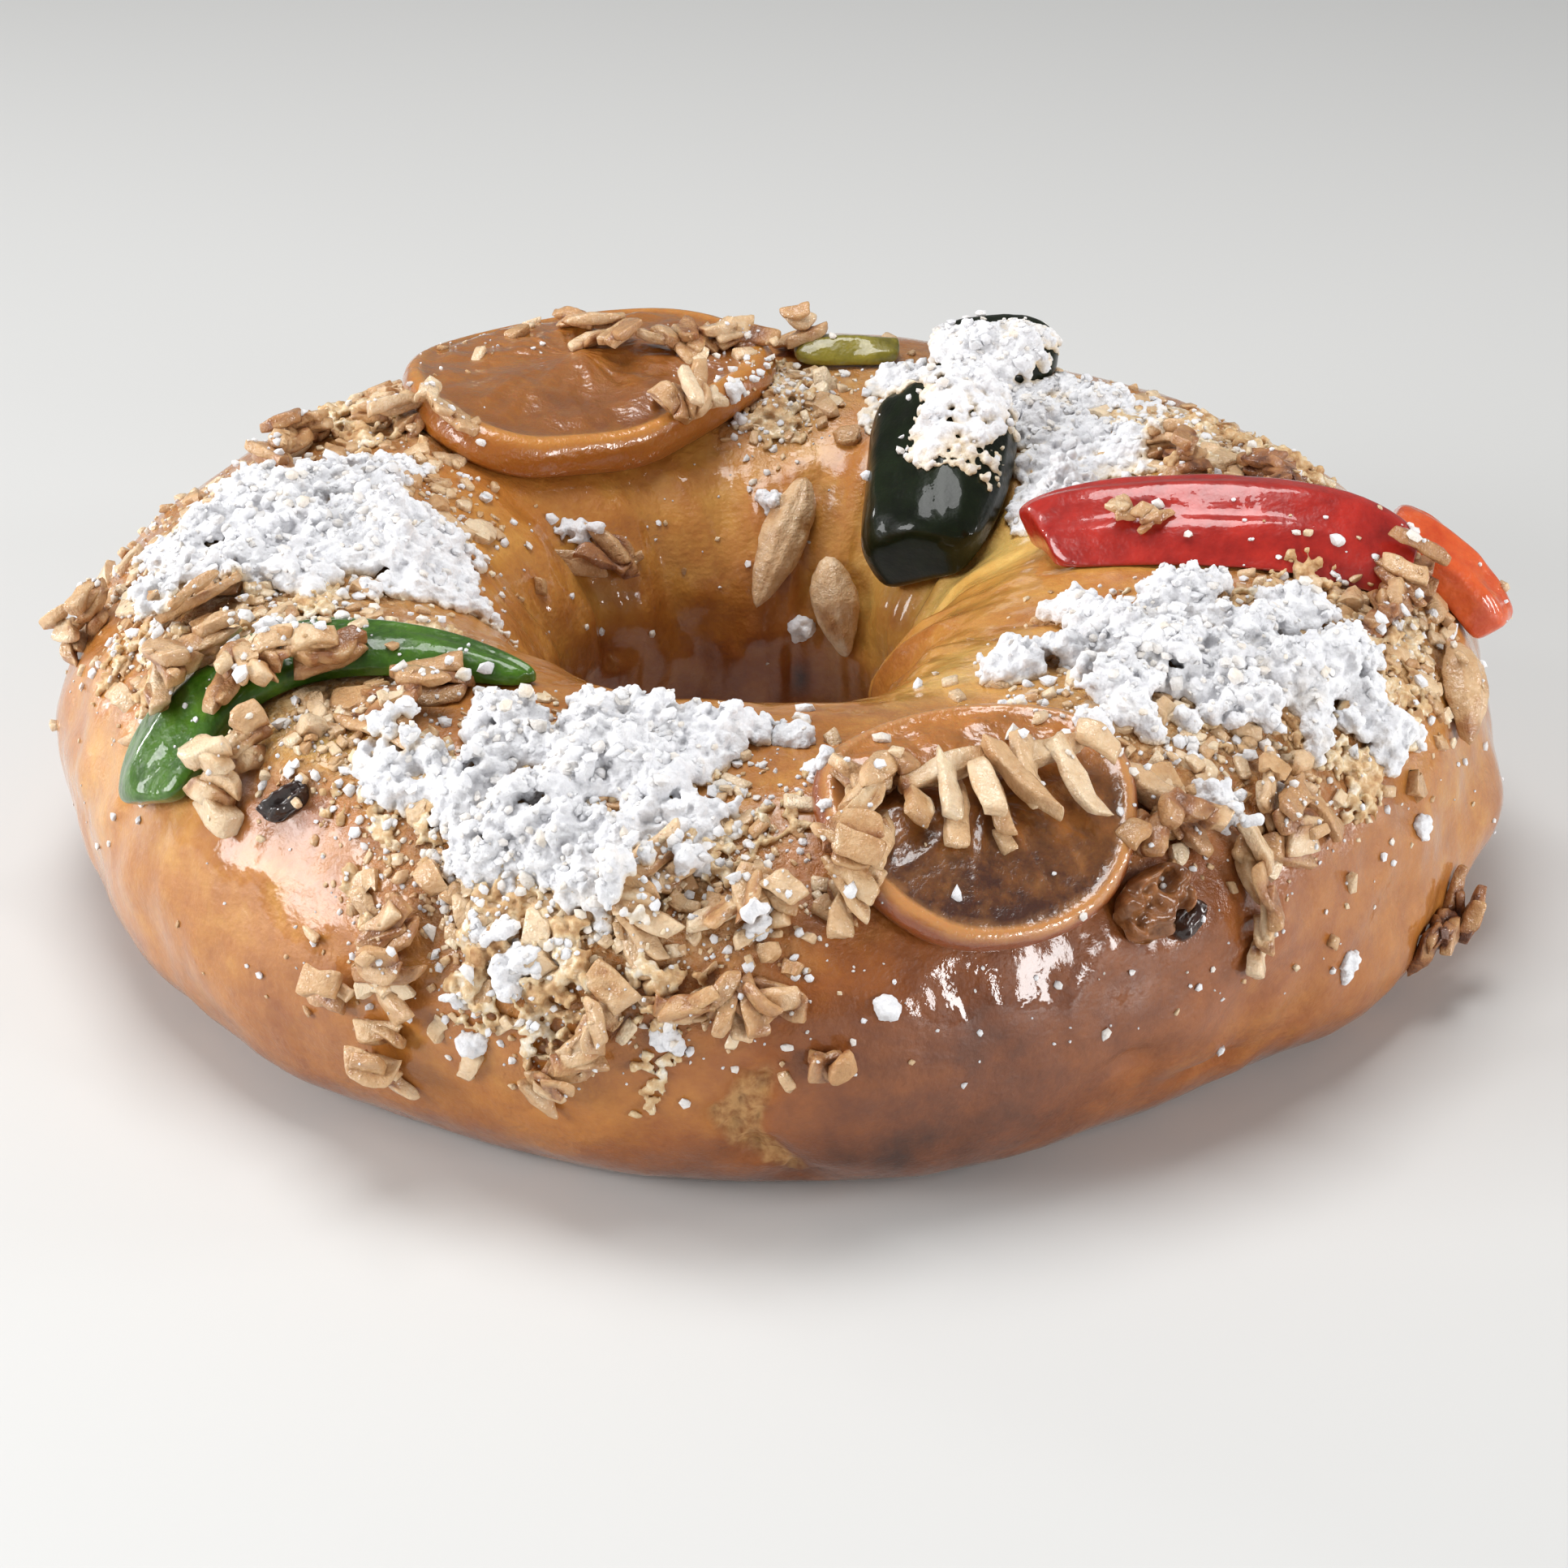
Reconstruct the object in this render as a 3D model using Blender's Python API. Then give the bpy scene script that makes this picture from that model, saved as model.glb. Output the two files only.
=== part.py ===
"""A roscon de reyes: a glazed ring loaf set with candied fruit, clusters of chopped almonds and drifts of sugar.

Metres, +Z up. The loaf stands on its flat base at z = 0, centred on the origin.

Places on the loaf are two angles in degrees. `ring` goes round the loaf, 0 at +X and 90 at +Y. `lean` goes
round the dough's own section, seen from the core line inside it: 0 points outwards, 90 up and 180 into the hole.
"""

import math
import random

import bmesh
import bpy
from mathutils import Matrix, Vector, noise
from mathutils.bvhtree import BVHTree

# ---------------------------------------------------------------- driving dimensions
CORE_RADIUS = 0.080        # the circle inside the dough that every section is drawn round
CORE_HEIGHT = 0.026
FOOT_REACH = 1.18          # how far the lower half would bulge past the core height, before the base flattens it
UPPER_ROUNDNESS = 2.15     # superellipse powers of the section above and below the core line
LOWER_ROUNDNESS = 2.6
RING_STEPS = 64
SECTION_STEPS = 18
RING_CENTRE = (0.0, 0.0057)   # sets the loaf, toppings included, in the middle of the origin

SEAT_GAP = 0.0004          # a topping stands this far off what carries it
DOUGH_GAP = 0.00035        # and is cut back this far from the dough
FIT_GAP = 0.0007           # and from the corners of a neighbour, which leaves about half of that at its faces

# hand-shaped dough is uneven: the radius outside, the radius of the hole and the height at ring angles
OUTER_RADIUS_AT = {
    0: 0.122, 30: 0.118, 60: 0.117, 90: 0.118, 120: 0.119, 150: 0.122,
    180: 0.125, 210: 0.122, 240: 0.121, 270: 0.122, 300: 0.118, 330: 0.118,
}
HOLE_RADIUS_AT = {
    0: 0.021, 45: 0.027, 90: 0.030, 135: 0.034, 180: 0.039,
    215: 0.044, 250: 0.046, 280: 0.042, 308: 0.026, 338: 0.015,
}
HEIGHT_AT = {0: 0.062, 45: 0.061, 90: 0.062, 135: 0.063, 180: 0.063, 225: 0.062, 270: 0.061, 315: 0.062}

# swellings and hollows of the crust: ring, lean, rise, and how wide each is in ring and lean degrees
SWELLINGS = (
    (-14, -6, 0.0040, 6, 12),      # a blister on the right flank
    (100, 190, 0.0050, 16, 22),    # dough pushed into the hole
    (-30, -30, 0.0030, 14, 20),    # the fold where the strand's ends were joined
    (-48, -20, -0.0020, 7, 25),
    (232, 50, 0.0015, 10, 14),     # over the raisin at the left
    (150, 150, -0.0020, 8, 25),
    (60, 175, -0.0020, 9, 20),
    (300, -25, -0.0020, 8, 14),
)


# ---------------------------------------------------------------- the loaf's surface
def between_stations(degrees, stations):
    """Eases round the ring between the values given at a few angles."""
    angles = sorted(stations)
    degrees %= 360
    for here, there in zip(angles, angles[1:] + [angles[0] + 360]):
        if here <= degrees < there:
            share = (degrees - here) / (there - here)
            share = share * share * (3 - 2 * share)
            return stations[here] * (1 - share) + stations[there % 360] * share
    return stations[angles[0]]


def turn_between(a, b):
    """The signed difference of two angles in degrees, from -180 to 180."""
    return (a - b + 180) % 360 - 180


def section_reach(ring, lean):
    """How far the crust lies from the core line, before the base is flattened."""
    out, up = math.cos(math.radians(lean)), math.sin(math.radians(lean))
    if out > 0:
        side = between_stations(ring, OUTER_RADIUS_AT) - CORE_RADIUS
    else:
        side = CORE_RADIUS - between_stations(ring, HOLE_RADIUS_AT)
    rise = between_stations(ring, HEIGHT_AT) - CORE_HEIGHT if up > 0 else CORE_HEIGHT * FOOT_REACH
    power = UPPER_ROUNDNESS if up > 0 else LOWER_ROUNDNESS
    reach = (abs(out / side) ** power + abs(up / rise) ** power) ** (-1 / power)
    for at_ring, at_lean, swell, wide, high in SWELLINGS:
        away = (turn_between(ring, at_ring) / wide) ** 2 + (turn_between(lean, at_lean) / high) ** 2
        reach += swell * math.exp(-away)
    return reach


def dough_point(ring, lean, grow=0.0):
    """A point of the crust. grow moves it outwards, base included."""
    out, up = math.cos(math.radians(lean)), math.sin(math.radians(lean))
    reach = section_reach(ring, lean) + grow
    if up < 0:
        reach = min(reach, (CORE_HEIGHT + grow) / -up)
    radius, height = CORE_RADIUS + reach * out, CORE_HEIGHT + reach * up
    angle = math.radians(ring)
    x, y = RING_CENTRE
    return Vector((x + radius * math.cos(angle), y + radius * math.sin(angle), height))


def dough_frame(ring, lean):
    """The crust's point and its unit directions there: along the ring, up the section, and straight out."""
    step = 0.5
    here = dough_point(ring, lean)
    along = (dough_point(ring + step, lean) - dough_point(ring - step, lean)).normalized()
    climb = dough_point(ring, lean + step) - dough_point(ring, lean - step)
    outward = along.cross(climb).normalized()
    return here, along, outward.cross(along).normalized(), outward


def wrapped(ring, lean, turn, x, y, lift):
    """Lays the flat point (x, y), raised by lift, on the crust round (ring, lean). turn swings x from along the ring."""
    swing = math.radians(turn)
    along = x * math.cos(swing) - y * math.sin(swing)
    climb = x * math.sin(swing) + y * math.cos(swing)
    reach = section_reach(ring, lean)
    lean_here = lean + math.degrees(climb / reach)
    radius = CORE_RADIUS + reach * math.cos(math.radians(lean_here))
    ring_here = ring + math.degrees(along / radius)
    here, _, _, outward = dough_frame(ring_here, lean_here)
    return here + outward * lift


# ---------------------------------------------------------------- objects and materials
def finish(name, colour, roughness):
    """A plain material in the part's colour."""
    made = bpy.data.materials.new(name)
    made.use_nodes = True
    shader = made.node_tree.nodes["Principled BSDF"]
    shader.inputs["Base Color"].default_value = (*colour, 1)
    shader.inputs["Roughness"].default_value = roughness
    shader.inputs["Metallic"].default_value = 0.0
    return made


def covered_height(here, outward, under):
    """How high the toppings below a place stand off the crust there."""
    start = here + outward * 0.05
    highest = 0.0
    for part in under:
        hit, _, _, distance = BVHTree.FromObject(part, depsgraph()).ray_cast(start, -outward, 0.05)
        if hit:
            highest = max(highest, 0.05 - distance)
    return highest


def add_part(name, shape, material):
    """Makes a bmesh a named part of the loaf."""
    bmesh.ops.recalc_face_normals(shape, faces=shape.faces)
    mesh = bpy.data.meshes.new(name)
    shape.to_mesh(mesh)
    shape.free()
    mesh.materials.append(material)
    part = bpy.data.objects.new(name, mesh)
    loaf.objects.link(part)
    mesh.shade_smooth()
    mesh.set_sharp_from_angle(angle=math.radians(35))
    return part


def swollen(part, gap):
    """A copy of a part a little larger all round, to cut its neighbours with. Almonds are cut round as whole lumps."""
    copy = bpy.data.objects.new(part.name + "_cutter", part.data.copy())
    cutters.objects.link(copy)
    copy.hide_render = True
    copy.display_type = "WIRE"
    shape = bmesh.new()
    shape.from_mesh(copy.data)
    if part.name.startswith("almond"):
        spare = bmesh.ops.convex_hull(shape, input=shape.verts)
        unused = set(spare["geom_interior"] + spare["geom_unused"] + spare["geom_holes"])
        hull = {item for item in spare["geom"] if isinstance(item, bmesh.types.BMFace)}
        bmesh.ops.delete(shape, geom=[face for face in shape.faces if face not in hull], context="FACES_ONLY")
        loose = [vert for vert in shape.verts if vert in unused or not vert.link_faces]
        bmesh.ops.delete(shape, geom=loose, context="VERTS")
        shape.normal_update()
    moved = [vert.co + vert.normal * gap for vert in shape.verts]
    for vert, place in zip(shape.verts, moved):
        vert.co = place
    shape.to_mesh(copy.data)
    shape.free()
    return copy


def depsgraph():
    bpy.context.view_layer.update()
    return bpy.context.evaluated_depsgraph_get()


def apply_modifiers(part):
    """Makes what the modifiers show the part's own mesh."""
    shown = part.evaluated_get(depsgraph())
    mesh = bpy.data.meshes.new_from_object(shown)
    part.modifiers.clear()
    part.data = mesh


def is_closed(shape):
    return all(len(edge.link_faces) == 2 for edge in shape.edges)


def drop_crumbs(shape):
    """Keeps the largest of the bodies that a cut has left."""
    unseen = set(shape.faces)
    bodies = []
    while unseen:
        body, front = set(), [unseen.pop()]
        while front:
            face = front.pop()
            body.add(face)
            whole_edges = [edge for edge in face.edges if len(edge.link_faces) == 2]
            linked = {other for edge in whole_edges for other in edge.link_faces} & unseen
            unseen -= linked
            front.extend(linked)
        bodies.append(body)
    bodies.sort(key=len, reverse=True)
    bmesh.ops.delete(shape, geom=[face for body in bodies[1:] for face in body], context="FACES")


def tidy_cut(part):
    """Drops a cut part's crumbs and flattens out its needless edges, as long as it stays closed."""
    shape = bmesh.new()
    shape.from_mesh(part.data)
    drop_crumbs(shape)
    simpler = shape.copy()
    bmesh.ops.dissolve_degenerate(simpler, dist=0.00003, edges=simpler.edges)
    bmesh.ops.dissolve_limit(simpler, angle_limit=math.radians(4), verts=simpler.verts, edges=simpler.edges)
    bmesh.ops.triangulate(simpler, faces=simpler.faces)
    drop_crumbs(simpler)
    bmesh.ops.triangulate(shape, faces=shape.faces)
    (simpler if is_closed(simpler) else shape).to_mesh(part.data)
    simpler.free()
    shape.free()


def box_of(part):
    """The lowest and highest corners of a part."""
    corners = [part.matrix_world @ vert.co for vert in part.data.vertices]
    return [(min(c[i] for c in corners), max(c[i] for c in corners)) for i in range(3)]


def near(part, other):
    """Whether two parts' boxes come within a gap of each other."""
    return all(
        low <= other_high + FIT_GAP and other_low <= high + FIT_GAP
        for (low, high), (other_low, other_high) in zip(box_of(part), box_of(other))
    )


def cut_to_fit(part, neighbours):
    """Cuts a part clear of those that were there before it."""
    made = [swollen(other, FIT_GAP) for other in neighbours if near(part, other)]
    for cutter in [dough_cutter] + made:
        cut = part.modifiers.new("cut", "BOOLEAN")
        cut.operation = "DIFFERENCE"
        cut.use_self = True
        cut.object = cutter
    apply_modifiers(part)
    for cutter in made:
        bpy.data.objects.remove(cutter)
    tidy_cut(part)
    return part


# ---------------------------------------------------------------- the dough
def shape_dough(grow):
    """A torus pulled out to the loaf's uneven section, grown all round by grow."""
    bpy.ops.mesh.primitive_torus_add(
        major_segments=RING_STEPS, minor_segments=SECTION_STEPS, major_radius=CORE_RADIUS, minor_radius=0.02
    )
    torus = bpy.context.object
    for vert in torus.data.vertices:
        ring = math.degrees(math.atan2(vert.co.y, vert.co.x))
        out = math.hypot(vert.co.x, vert.co.y) - CORE_RADIUS
        vert.co = dough_point(ring, math.degrees(math.atan2(vert.co.z, out)), grow)
    for collection in list(torus.users_collection):
        collection.objects.unlink(torus)
    return torus


def make_dough():
    dough = shape_dough(0.0)
    dough.name = "dough_ring"
    dough.data.materials.append(CRUST)
    dough.data.shade_smooth()
    loaf.objects.link(dough)
    return dough


def make_dough_cutter():
    cutter = shape_dough(DOUGH_GAP)
    cutter.name = "dough_cutter"
    cutter.hide_render = True
    cutter.display_type = "WIRE"
    cutters.objects.link(cutter)
    return cutter


# ---------------------------------------------------------------- pads: toppings that follow the crust
def round_pad(rings, steps):
    """A flat disc of radius 1 with concentric rings of faces, doubled into a slab whose top is at z = 1."""
    shape = bmesh.new()
    bmesh.ops.create_circle(shape, cap_ends=True, segments=steps, radius=1)
    middle = shape.faces[:]
    for _ in range(rings - 1):
        bmesh.ops.inset_region(shape, faces=middle, thickness=1 / rings, use_boundary=True)
    bmesh.ops.poke(shape, faces=middle)
    return doubled(shape)


def strip_pad(cells_long, cells_wide):
    """A flat oblong from -1 to 1 each way, doubled into a slab whose top is at z = 1."""
    shape = bmesh.new()
    bmesh.ops.create_grid(shape, x_segments=cells_long, y_segments=cells_wide, size=1)
    return doubled(shape)


def doubled(shape):
    """Closes a flat sheet into a slab, with the copy of the sheet at z = 1."""
    made = bmesh.ops.extrude_face_region(shape, geom=shape.faces[:], use_keep_orig=True)
    raised = [item for item in made["geom"] if isinstance(item, bmesh.types.BMVert)]
    bmesh.ops.translate(shape, verts=raised, vec=(0, 0, 1))
    return shape


def lay(shape, place, form, under=()):
    """Gives each point of a slab its flat place and lift from form(x, y, top), and wraps it on the crust.

    The top side is lifted further over the toppings that lie under it.
    """
    ring, lean, turn = place
    for vert in shape.verts:
        top = vert.co.z > 0.5
        x, y, lift = form(vert.co.x, vert.co.y, top)
        crust = wrapped(ring, lean, turn, x, y, 0.0)
        outward = (wrapped(ring, lean, turn, x, y, 0.01) - crust).normalized()
        over = covered_height(crust, outward, under) if top else 0.0
        vert.co = crust + outward * (SEAT_GAP + lift + over)
    return shape


def orange_slice(name, place, long_radius, cross_radius, thick, low_lift, low_side):
    """A candied orange slice: a rounded rind, and flesh that lies lower between its membranes.

    It is too stiff to follow the crust all the way, so it stands thicker towards its low side.
    """
    rind, segments = 0.78, 10

    def form(x, y, top):
        from_middle = min(1.0, math.hypot(x, y))
        angle = math.atan2(y, x)
        wobble = 1 + 0.025 * math.sin(2 * angle + 1) + 0.012 * math.sin(5 * angle)
        lift = 0.0
        if top:
            lift = thick + low_lift * max(0.0, y * low_side) ** 2
            if from_middle < rind:
                membrane = abs(math.sin(segments * angle / 2))
                lift -= thick * (0.14 + 0.14 * membrane * min(1, 2 * from_middle))
            if from_middle > 0.99:
                lift -= thick * 0.22
        size = wobble * (1.0 if top else 0.985)
        return x * long_radius * size, y * cross_radius * size, lift

    return add_part(name, lay(round_pad(4, 20), place, form), ORANGE_FLESH)


def fruit_strip(name, place, length, width, thick, material, taper=0.5, ridge=0.0, bend=0.0, cells=(8, 3)):
    """A cut strip of candied fruit, crowned on top, tapered to its ends and bent by an angle along its length."""
    turn_of_all = math.radians(bend)

    def form(x, y, top):
        half_width = width / 2 * (1 - taper * abs(x) ** 4)
        run, aside = x * length / 2, y * half_width
        if top:
            run *= 0.97
        heading = turn_of_all * run / length
        along, across = run, 0.0
        if bend:
            around = length / turn_of_all
            along, across = around * math.sin(heading), around * (1 - math.cos(heading))
        flat = (along - aside * math.sin(heading), across + aside * math.cos(heading))
        if not top:
            return *flat, 0.0
        crown = 1 - 0.45 * abs(y - ridge) ** 2.2
        return *flat, thick * crown * (1 - 0.3 * abs(x) ** 6)

    return add_part(name, lay(strip_pad(*cells), place, form), material)


def fruit_dome(name, place, length, width, thick, material, power=5.0, dent=0.0, pad=(3, 14)):
    """A whole or halved candied fruit: a squarish dome with steep sides, dented where it was pressed."""

    def form(x, y, top):
        from_middle = min(1.0, math.hypot(x, y))
        squareness = 1 + 0.10 * math.cos(4 * math.atan2(y, x)) * from_middle
        if not top:
            return x * length / 2 * 0.9, y * width / 2 * 0.9, 0.0
        dome = (1 - 0.90 * from_middle ** power) ** 0.5
        hollow = dent * math.exp(-((x - 0.1) ** 2 + (y + 0.1) ** 2) * 6)
        return x * length / 2 * squareness, y * width / 2 * squareness, thick * (dome - hollow)

    return add_part(name, lay(round_pad(*pad), place, form), material)


def sugar_drift(name, place, length, width, thick, seed, under, round_what):
    """A heap of sugar: ragged outline, lumpy top, thinning to its edge. It lies over the fruit and round the rest."""

    def form(x, y, top):
        from_middle = min(1.0, math.hypot(x, y))
        angle = math.atan2(y, x)
        ragged = 1 + 0.22 * noise.noise(Vector((2.2 * math.cos(angle), 2.2 * math.sin(angle), seed)))
        ragged += 0.08 * math.sin(5 * angle + seed)
        if not top:
            return x * length / 2 * ragged * 0.97, y * width / 2 * ragged * 0.97, 0.0
        lumps = 0.8 + 0.4 * noise.noise(Vector((x * 2.6, y * 2.6, seed + 7)))
        lift = thick * (1 - 0.7 * from_middle ** 3) * lumps
        return x * length / 2 * ragged, y * width / 2 * ragged, lift

    drift = add_part(name, lay(round_pad(3, 14), place, form, under), SUGAR)
    return cut_to_fit(drift, under + round_what)


# ---------------------------------------------------------------- almonds: stiff pieces on the crust
def sliver(shape, middle, axis, up, length, width, thick):
    """One piece of chopped almond: a flattened bar, thinner at one end, cut off square."""
    axis, side = axis.normalized(), axis.cross(up).normalized()
    turned = Matrix((side, side.cross(axis), axis)).transposed().to_4x4()
    turned.translation = middle
    stretch = Matrix.Diagonal((width / 2, thick / 2, length, 1))
    bmesh.ops.create_cone(
        shape, cap_ends=True, segments=4, radius1=1.0, radius2=0.7, depth=1, matrix=turned @ stretch
    )


def stiff_frame(ring, lean, heading):
    """Where a stiff piece stands, the way it points, and which way is up for it."""
    here, along, climb, outward = dough_frame(ring, lean)
    swing = math.radians(heading)
    return here, along * math.cos(swing) + climb * math.sin(swing), outward


def almond_cluster(name, ring, lean, reach, count, heading, fan, seed, under):
    """A knot of almond slivers stuck together with syrup. They cross near its middle and fan about its heading."""
    draw = random.Random(seed)
    here, _, outward = stiff_frame(ring, lean, heading)
    seat = covered_height(here, outward, under)
    pieces = []
    for index in range(count):
        swing = heading + fan * (2 * index / (count - 1) - 1) + draw.uniform(-12, 12)
        _, axis, _ = stiff_frame(ring, lean, swing)
        side = axis.cross(outward)
        length = reach * draw.uniform(0.8, 1.1)
        middle = here + outward * (seat + 0.0014 + 0.0012 * index)
        middle += side * draw.uniform(-0.10, 0.10) * reach + axis * draw.uniform(-0.20, 0.20) * length
        shape = bmesh.new()
        sliver(
            shape, middle, axis + outward * draw.uniform(-0.10, 0.35), outward + side * draw.uniform(-0.7, 0.7),
            length, draw.uniform(0.0046, 0.0062), draw.uniform(0.0032, 0.0042),
        )
        pieces.append(add_part(name + "_" + str(index), shape, ALMOND))
    whole = pieces[0]
    for other in pieces[1:]:
        join = whole.modifiers.new("join", "BOOLEAN")
        join.operation = "UNION"
        join.object = other
    apply_modifiers(whole)
    for other in pieces[1:]:
        bpy.data.objects.remove(other)
    whole.name = name
    return cut_to_fit(whole, under)


def almond_half(name, ring, lean, heading, length, width, thick, under):
    """A skinned almond half lying on the crust: round at one end, pointed at the other, flat underneath."""
    here, axis, outward = stiff_frame(ring, lean, heading)
    side = outward.cross(axis)
    seat = covered_height(here, outward, under)
    shape = bmesh.new()
    bmesh.ops.create_uvsphere(shape, u_segments=10, v_segments=6, radius=1)
    bmesh.ops.transform(shape, verts=shape.verts, matrix=Matrix.Rotation(math.radians(90), 4, "Y"))
    for vert in shape.verts:
        x, y, z = vert.co
        narrow = 1 - 0.38 * (x + 0.2) if x > -0.2 else 1
        rise = z * 0.7 * narrow if z > 0 else z * 0.3
        vert.co = here + outward * (seat + thick * (0.32 + rise)) + axis * (x * length / 2)
        vert.co += side * (y * width / 2 * narrow)
    return cut_to_fit(add_part(name, shape, ALMOND), under)


# ---------------------------------------------------------------- the scene
for old in list(bpy.data.objects):
    bpy.data.objects.remove(old)
loaf = bpy.data.collections.new("roscon_de_reyes")
cutters = bpy.data.collections.new("cutters")
bpy.context.scene.collection.children.link(loaf)
bpy.context.scene.collection.children.link(cutters)

CRUST = finish("glazed_crust", (0.55, 0.25, 0.07), 0.25)
ORANGE_FLESH = finish("candied_orange", (0.55, 0.20, 0.04), 0.15)
GREEN_FRUIT = finish("candied_green", (0.06, 0.26, 0.03), 0.15)
DARK_FIG = finish("candied_fig", (0.012, 0.022, 0.010), 0.12)
OLIVE_FRUIT = finish("candied_olive_green", (0.22, 0.20, 0.02), 0.2)
RED_FRUIT = finish("candied_red", (0.62, 0.03, 0.02), 0.12)
AMBER_FRUIT = finish("candied_amber", (0.65, 0.12, 0.02), 0.15)
RAISIN = finish("raisin", (0.05, 0.02, 0.015), 0.3)
ALMOND = finish("almond", (0.72, 0.45, 0.20), 0.35)
SUGAR = finish("sugar", (0.9, 0.9, 0.9), 0.95)

dough = make_dough()
dough_cutter = make_dough_cutter()

# places are ring, lean and turn, in degrees; then the sizes
fruit = [
    orange_slice("orange_slice_back", (120, 95, 4), 0.0360, 0.0265, 0.0044, 0.0034, 1),
    orange_slice("orange_slice_front", (286, 56, 0), 0.0250, 0.0215, 0.0040, 0.0020, -1),
    fruit_strip("green_strip", (217, 74, 54), 0.068, 0.0135, 0.0048, GREEN_FRUIT, bend=-117, cells=(10, 3)),
    fruit_dome("fig_front", (44, 141, 133), 0.037, 0.029, 0.0150, DARK_FIG, dent=0.10),
    fruit_dome("fig_back", (60, 91, 30), 0.028, 0.024, 0.0090, DARK_FIG, dent=0.06),
    fruit_strip("red_strip", (353, 95, 88), 0.070, 0.0165, 0.0085, RED_FRUIT, ridge=0.3, bend=-14),
    fruit_strip("amber_wedge", (0, 36, 75), 0.025, 0.017, 0.0095, AMBER_FRUIT, taper=0.25, ridge=0.2, cells=(6, 3)),
    fruit_strip("olive_strip", (81, 96, 10), 0.019, 0.009, 0.0040, OLIVE_FRUIT, cells=(4, 2)),
    fruit_dome("raisin_front", (298, 28, 20), 0.014, 0.009, 0.0046, RAISIN, dent=0.2, pad=(3, 10)),
    fruit_dome("raisin_left", (228, 40, 50), 0.012, 0.008, 0.0036, RAISIN, dent=0.3, pad=(3, 10)),
]
for later in range(1, len(fruit)):
    cut_to_fit(fruit[later], fruit[:later])

# clusters: ring, lean, sliver length, slivers, heading, fan, seed
CLUSTERS = {
    "almonds_over_orange_left": (283, 55, 0.018, 4, 265, 50, 11),
    "almonds_over_orange_right": (291, 57, 0.018, 4, 290, 50, 12),
    "almonds_beside_orange_left": (278, 62, 0.013, 4, 200, 70, 13),
    "almonds_under_orange": (274, 44, 0.018, 4, 170, 55, 14),
    "almonds_right_of_orange": (301, 42, 0.016, 4, 250, 60, 15),
    "almonds_front_right": (307, 22, 0.019, 4, 265, 20, 16),
    "almonds_front_upper": (268, 36, 0.014, 4, 265, 50, 17),
    "almonds_front_middle": (260, 36, 0.018, 4, 175, 30, 18),
    "almonds_front_low": (266, 18, 0.017, 4, 200, 80, 19),
    "almonds_front_left": (256, 7, 0.017, 4, 250, 70, 20),
    "almonds_left_flank": (241, 17, 0.019, 4, 200, 35, 21),
    "almonds_on_green_outer": (212, 50, 0.015, 4, 200, 60, 22),
    "almonds_on_green_crest": (219, 61, 0.018, 4, 190, 60, 23),
    "almonds_by_green_foot": (222, 40, 0.014, 4, 215, 45, 24),
    "almonds_left_crest": (231, 73, 0.021, 4, 205, 25, 25),
    "almonds_left_edge": (187, 30, 0.013, 4, 240, 60, 26),
    "almonds_left_flake": (199, 61, 0.018, 3, 260, 40, 27),
    "almonds_back_left": (162, 72, 0.019, 4, 170, 60, 28),
    "almonds_beside_orange_back": (152, 95, 0.019, 4, 175, 55, 29),
    "almonds_over_orange_back": (103, 106, 0.018, 4, 240, 70, 30),
    "almonds_orange_back_near": (111, 132, 0.018, 3, 250, 25, 31),
    "almonds_behind_orange": (117, 94, 0.020, 4, 170, 35, 32),
    "almonds_behind_olive": (88, 94, 0.012, 4, 170, 55, 37),
    "almonds_by_red_end": (345, 55, 0.018, 4, 220, 70, 33),
    "almonds_right_crest": (8, 80, 0.016, 4, 180, 60, 34),
    "almonds_right_flank": (312, 36, 0.017, 4, 190, 40, 35),
    "almonds_back_right": (18, 100, 0.015, 4, 170, 60, 36),
    "almonds_hole_wall": (144, 156, 0.016, 3, 120, 40, 38),
    "almonds_foot_left": (241, -6, 0.013, 3, 180, 30, 39),
    "almonds_foot_right": (333, -18, 0.016, 4, 180, 60, 40),
}
almonds = []
for cluster, (ring, lean, reach, count, heading, fan, seed) in CLUSTERS.items():
    almonds.append(almond_cluster(cluster, ring, lean, reach, count, heading, fan, seed, fruit + almonds))

# almond halves: ring, lean, heading, length, width, thickness
HALVES = {
    "almond_half_hole_long": (91, 161, 68, 0.026, 0.0085, 0.0050),
    "almond_half_hole_short": (71, 173, 105, 0.019, 0.0085, 0.0048),
    "almond_half_right": (343, 28, 220, 0.021, 0.0095, 0.0075),
}
for half, (ring, lean, heading, length, width, thick) in HALVES.items():
    almonds.append(almond_half(half, ring, lean, heading, length, width, thick, fruit + almonds))

# sugar: ring, lean and turn, then length, width, thickness and seed
DRIFTS = {
    "sugar_drift_left": ((187, 85, 90), 0.056, 0.054, 0.0058, 3),
    "sugar_drift_front": ((251, 65, 10), 0.060, 0.036, 0.0058, 5),
    "sugar_drift_front_low": ((249, 22, 100), 0.030, 0.024, 0.0040, 6),
    "sugar_drift_right": ((320, 79, -35), 0.074, 0.054, 0.0064, 9),
    "sugar_drift_figs": ((48, 108, 15), 0.060, 0.038, 0.0046, 14),
}
drifts = []
for drift, (place, length, width, thick, seed) in DRIFTS.items():
    drifts.append(sugar_drift(drift, place, length, width, thick, seed, fruit, almonds + drifts))
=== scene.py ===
# %% [markdown]
# # A glazed ring loaf with candied fruit, almonds and sugar
#
# The imported CAD model gives the loaf's size, its box and its named pieces. This script dresses it: an
# uneven, syrup-glazed crust, candied fruit, knots of chopped almonds and heaps of clumped sugar. Everything
# is in metres, with +Z up. The first cell loads the model and keeps its box.

import math
import random

import bmesh
import bpy
import numpy as np
from mathutils import Matrix, Vector, noise
from mathutils.bvhtree import BVHTree


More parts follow.
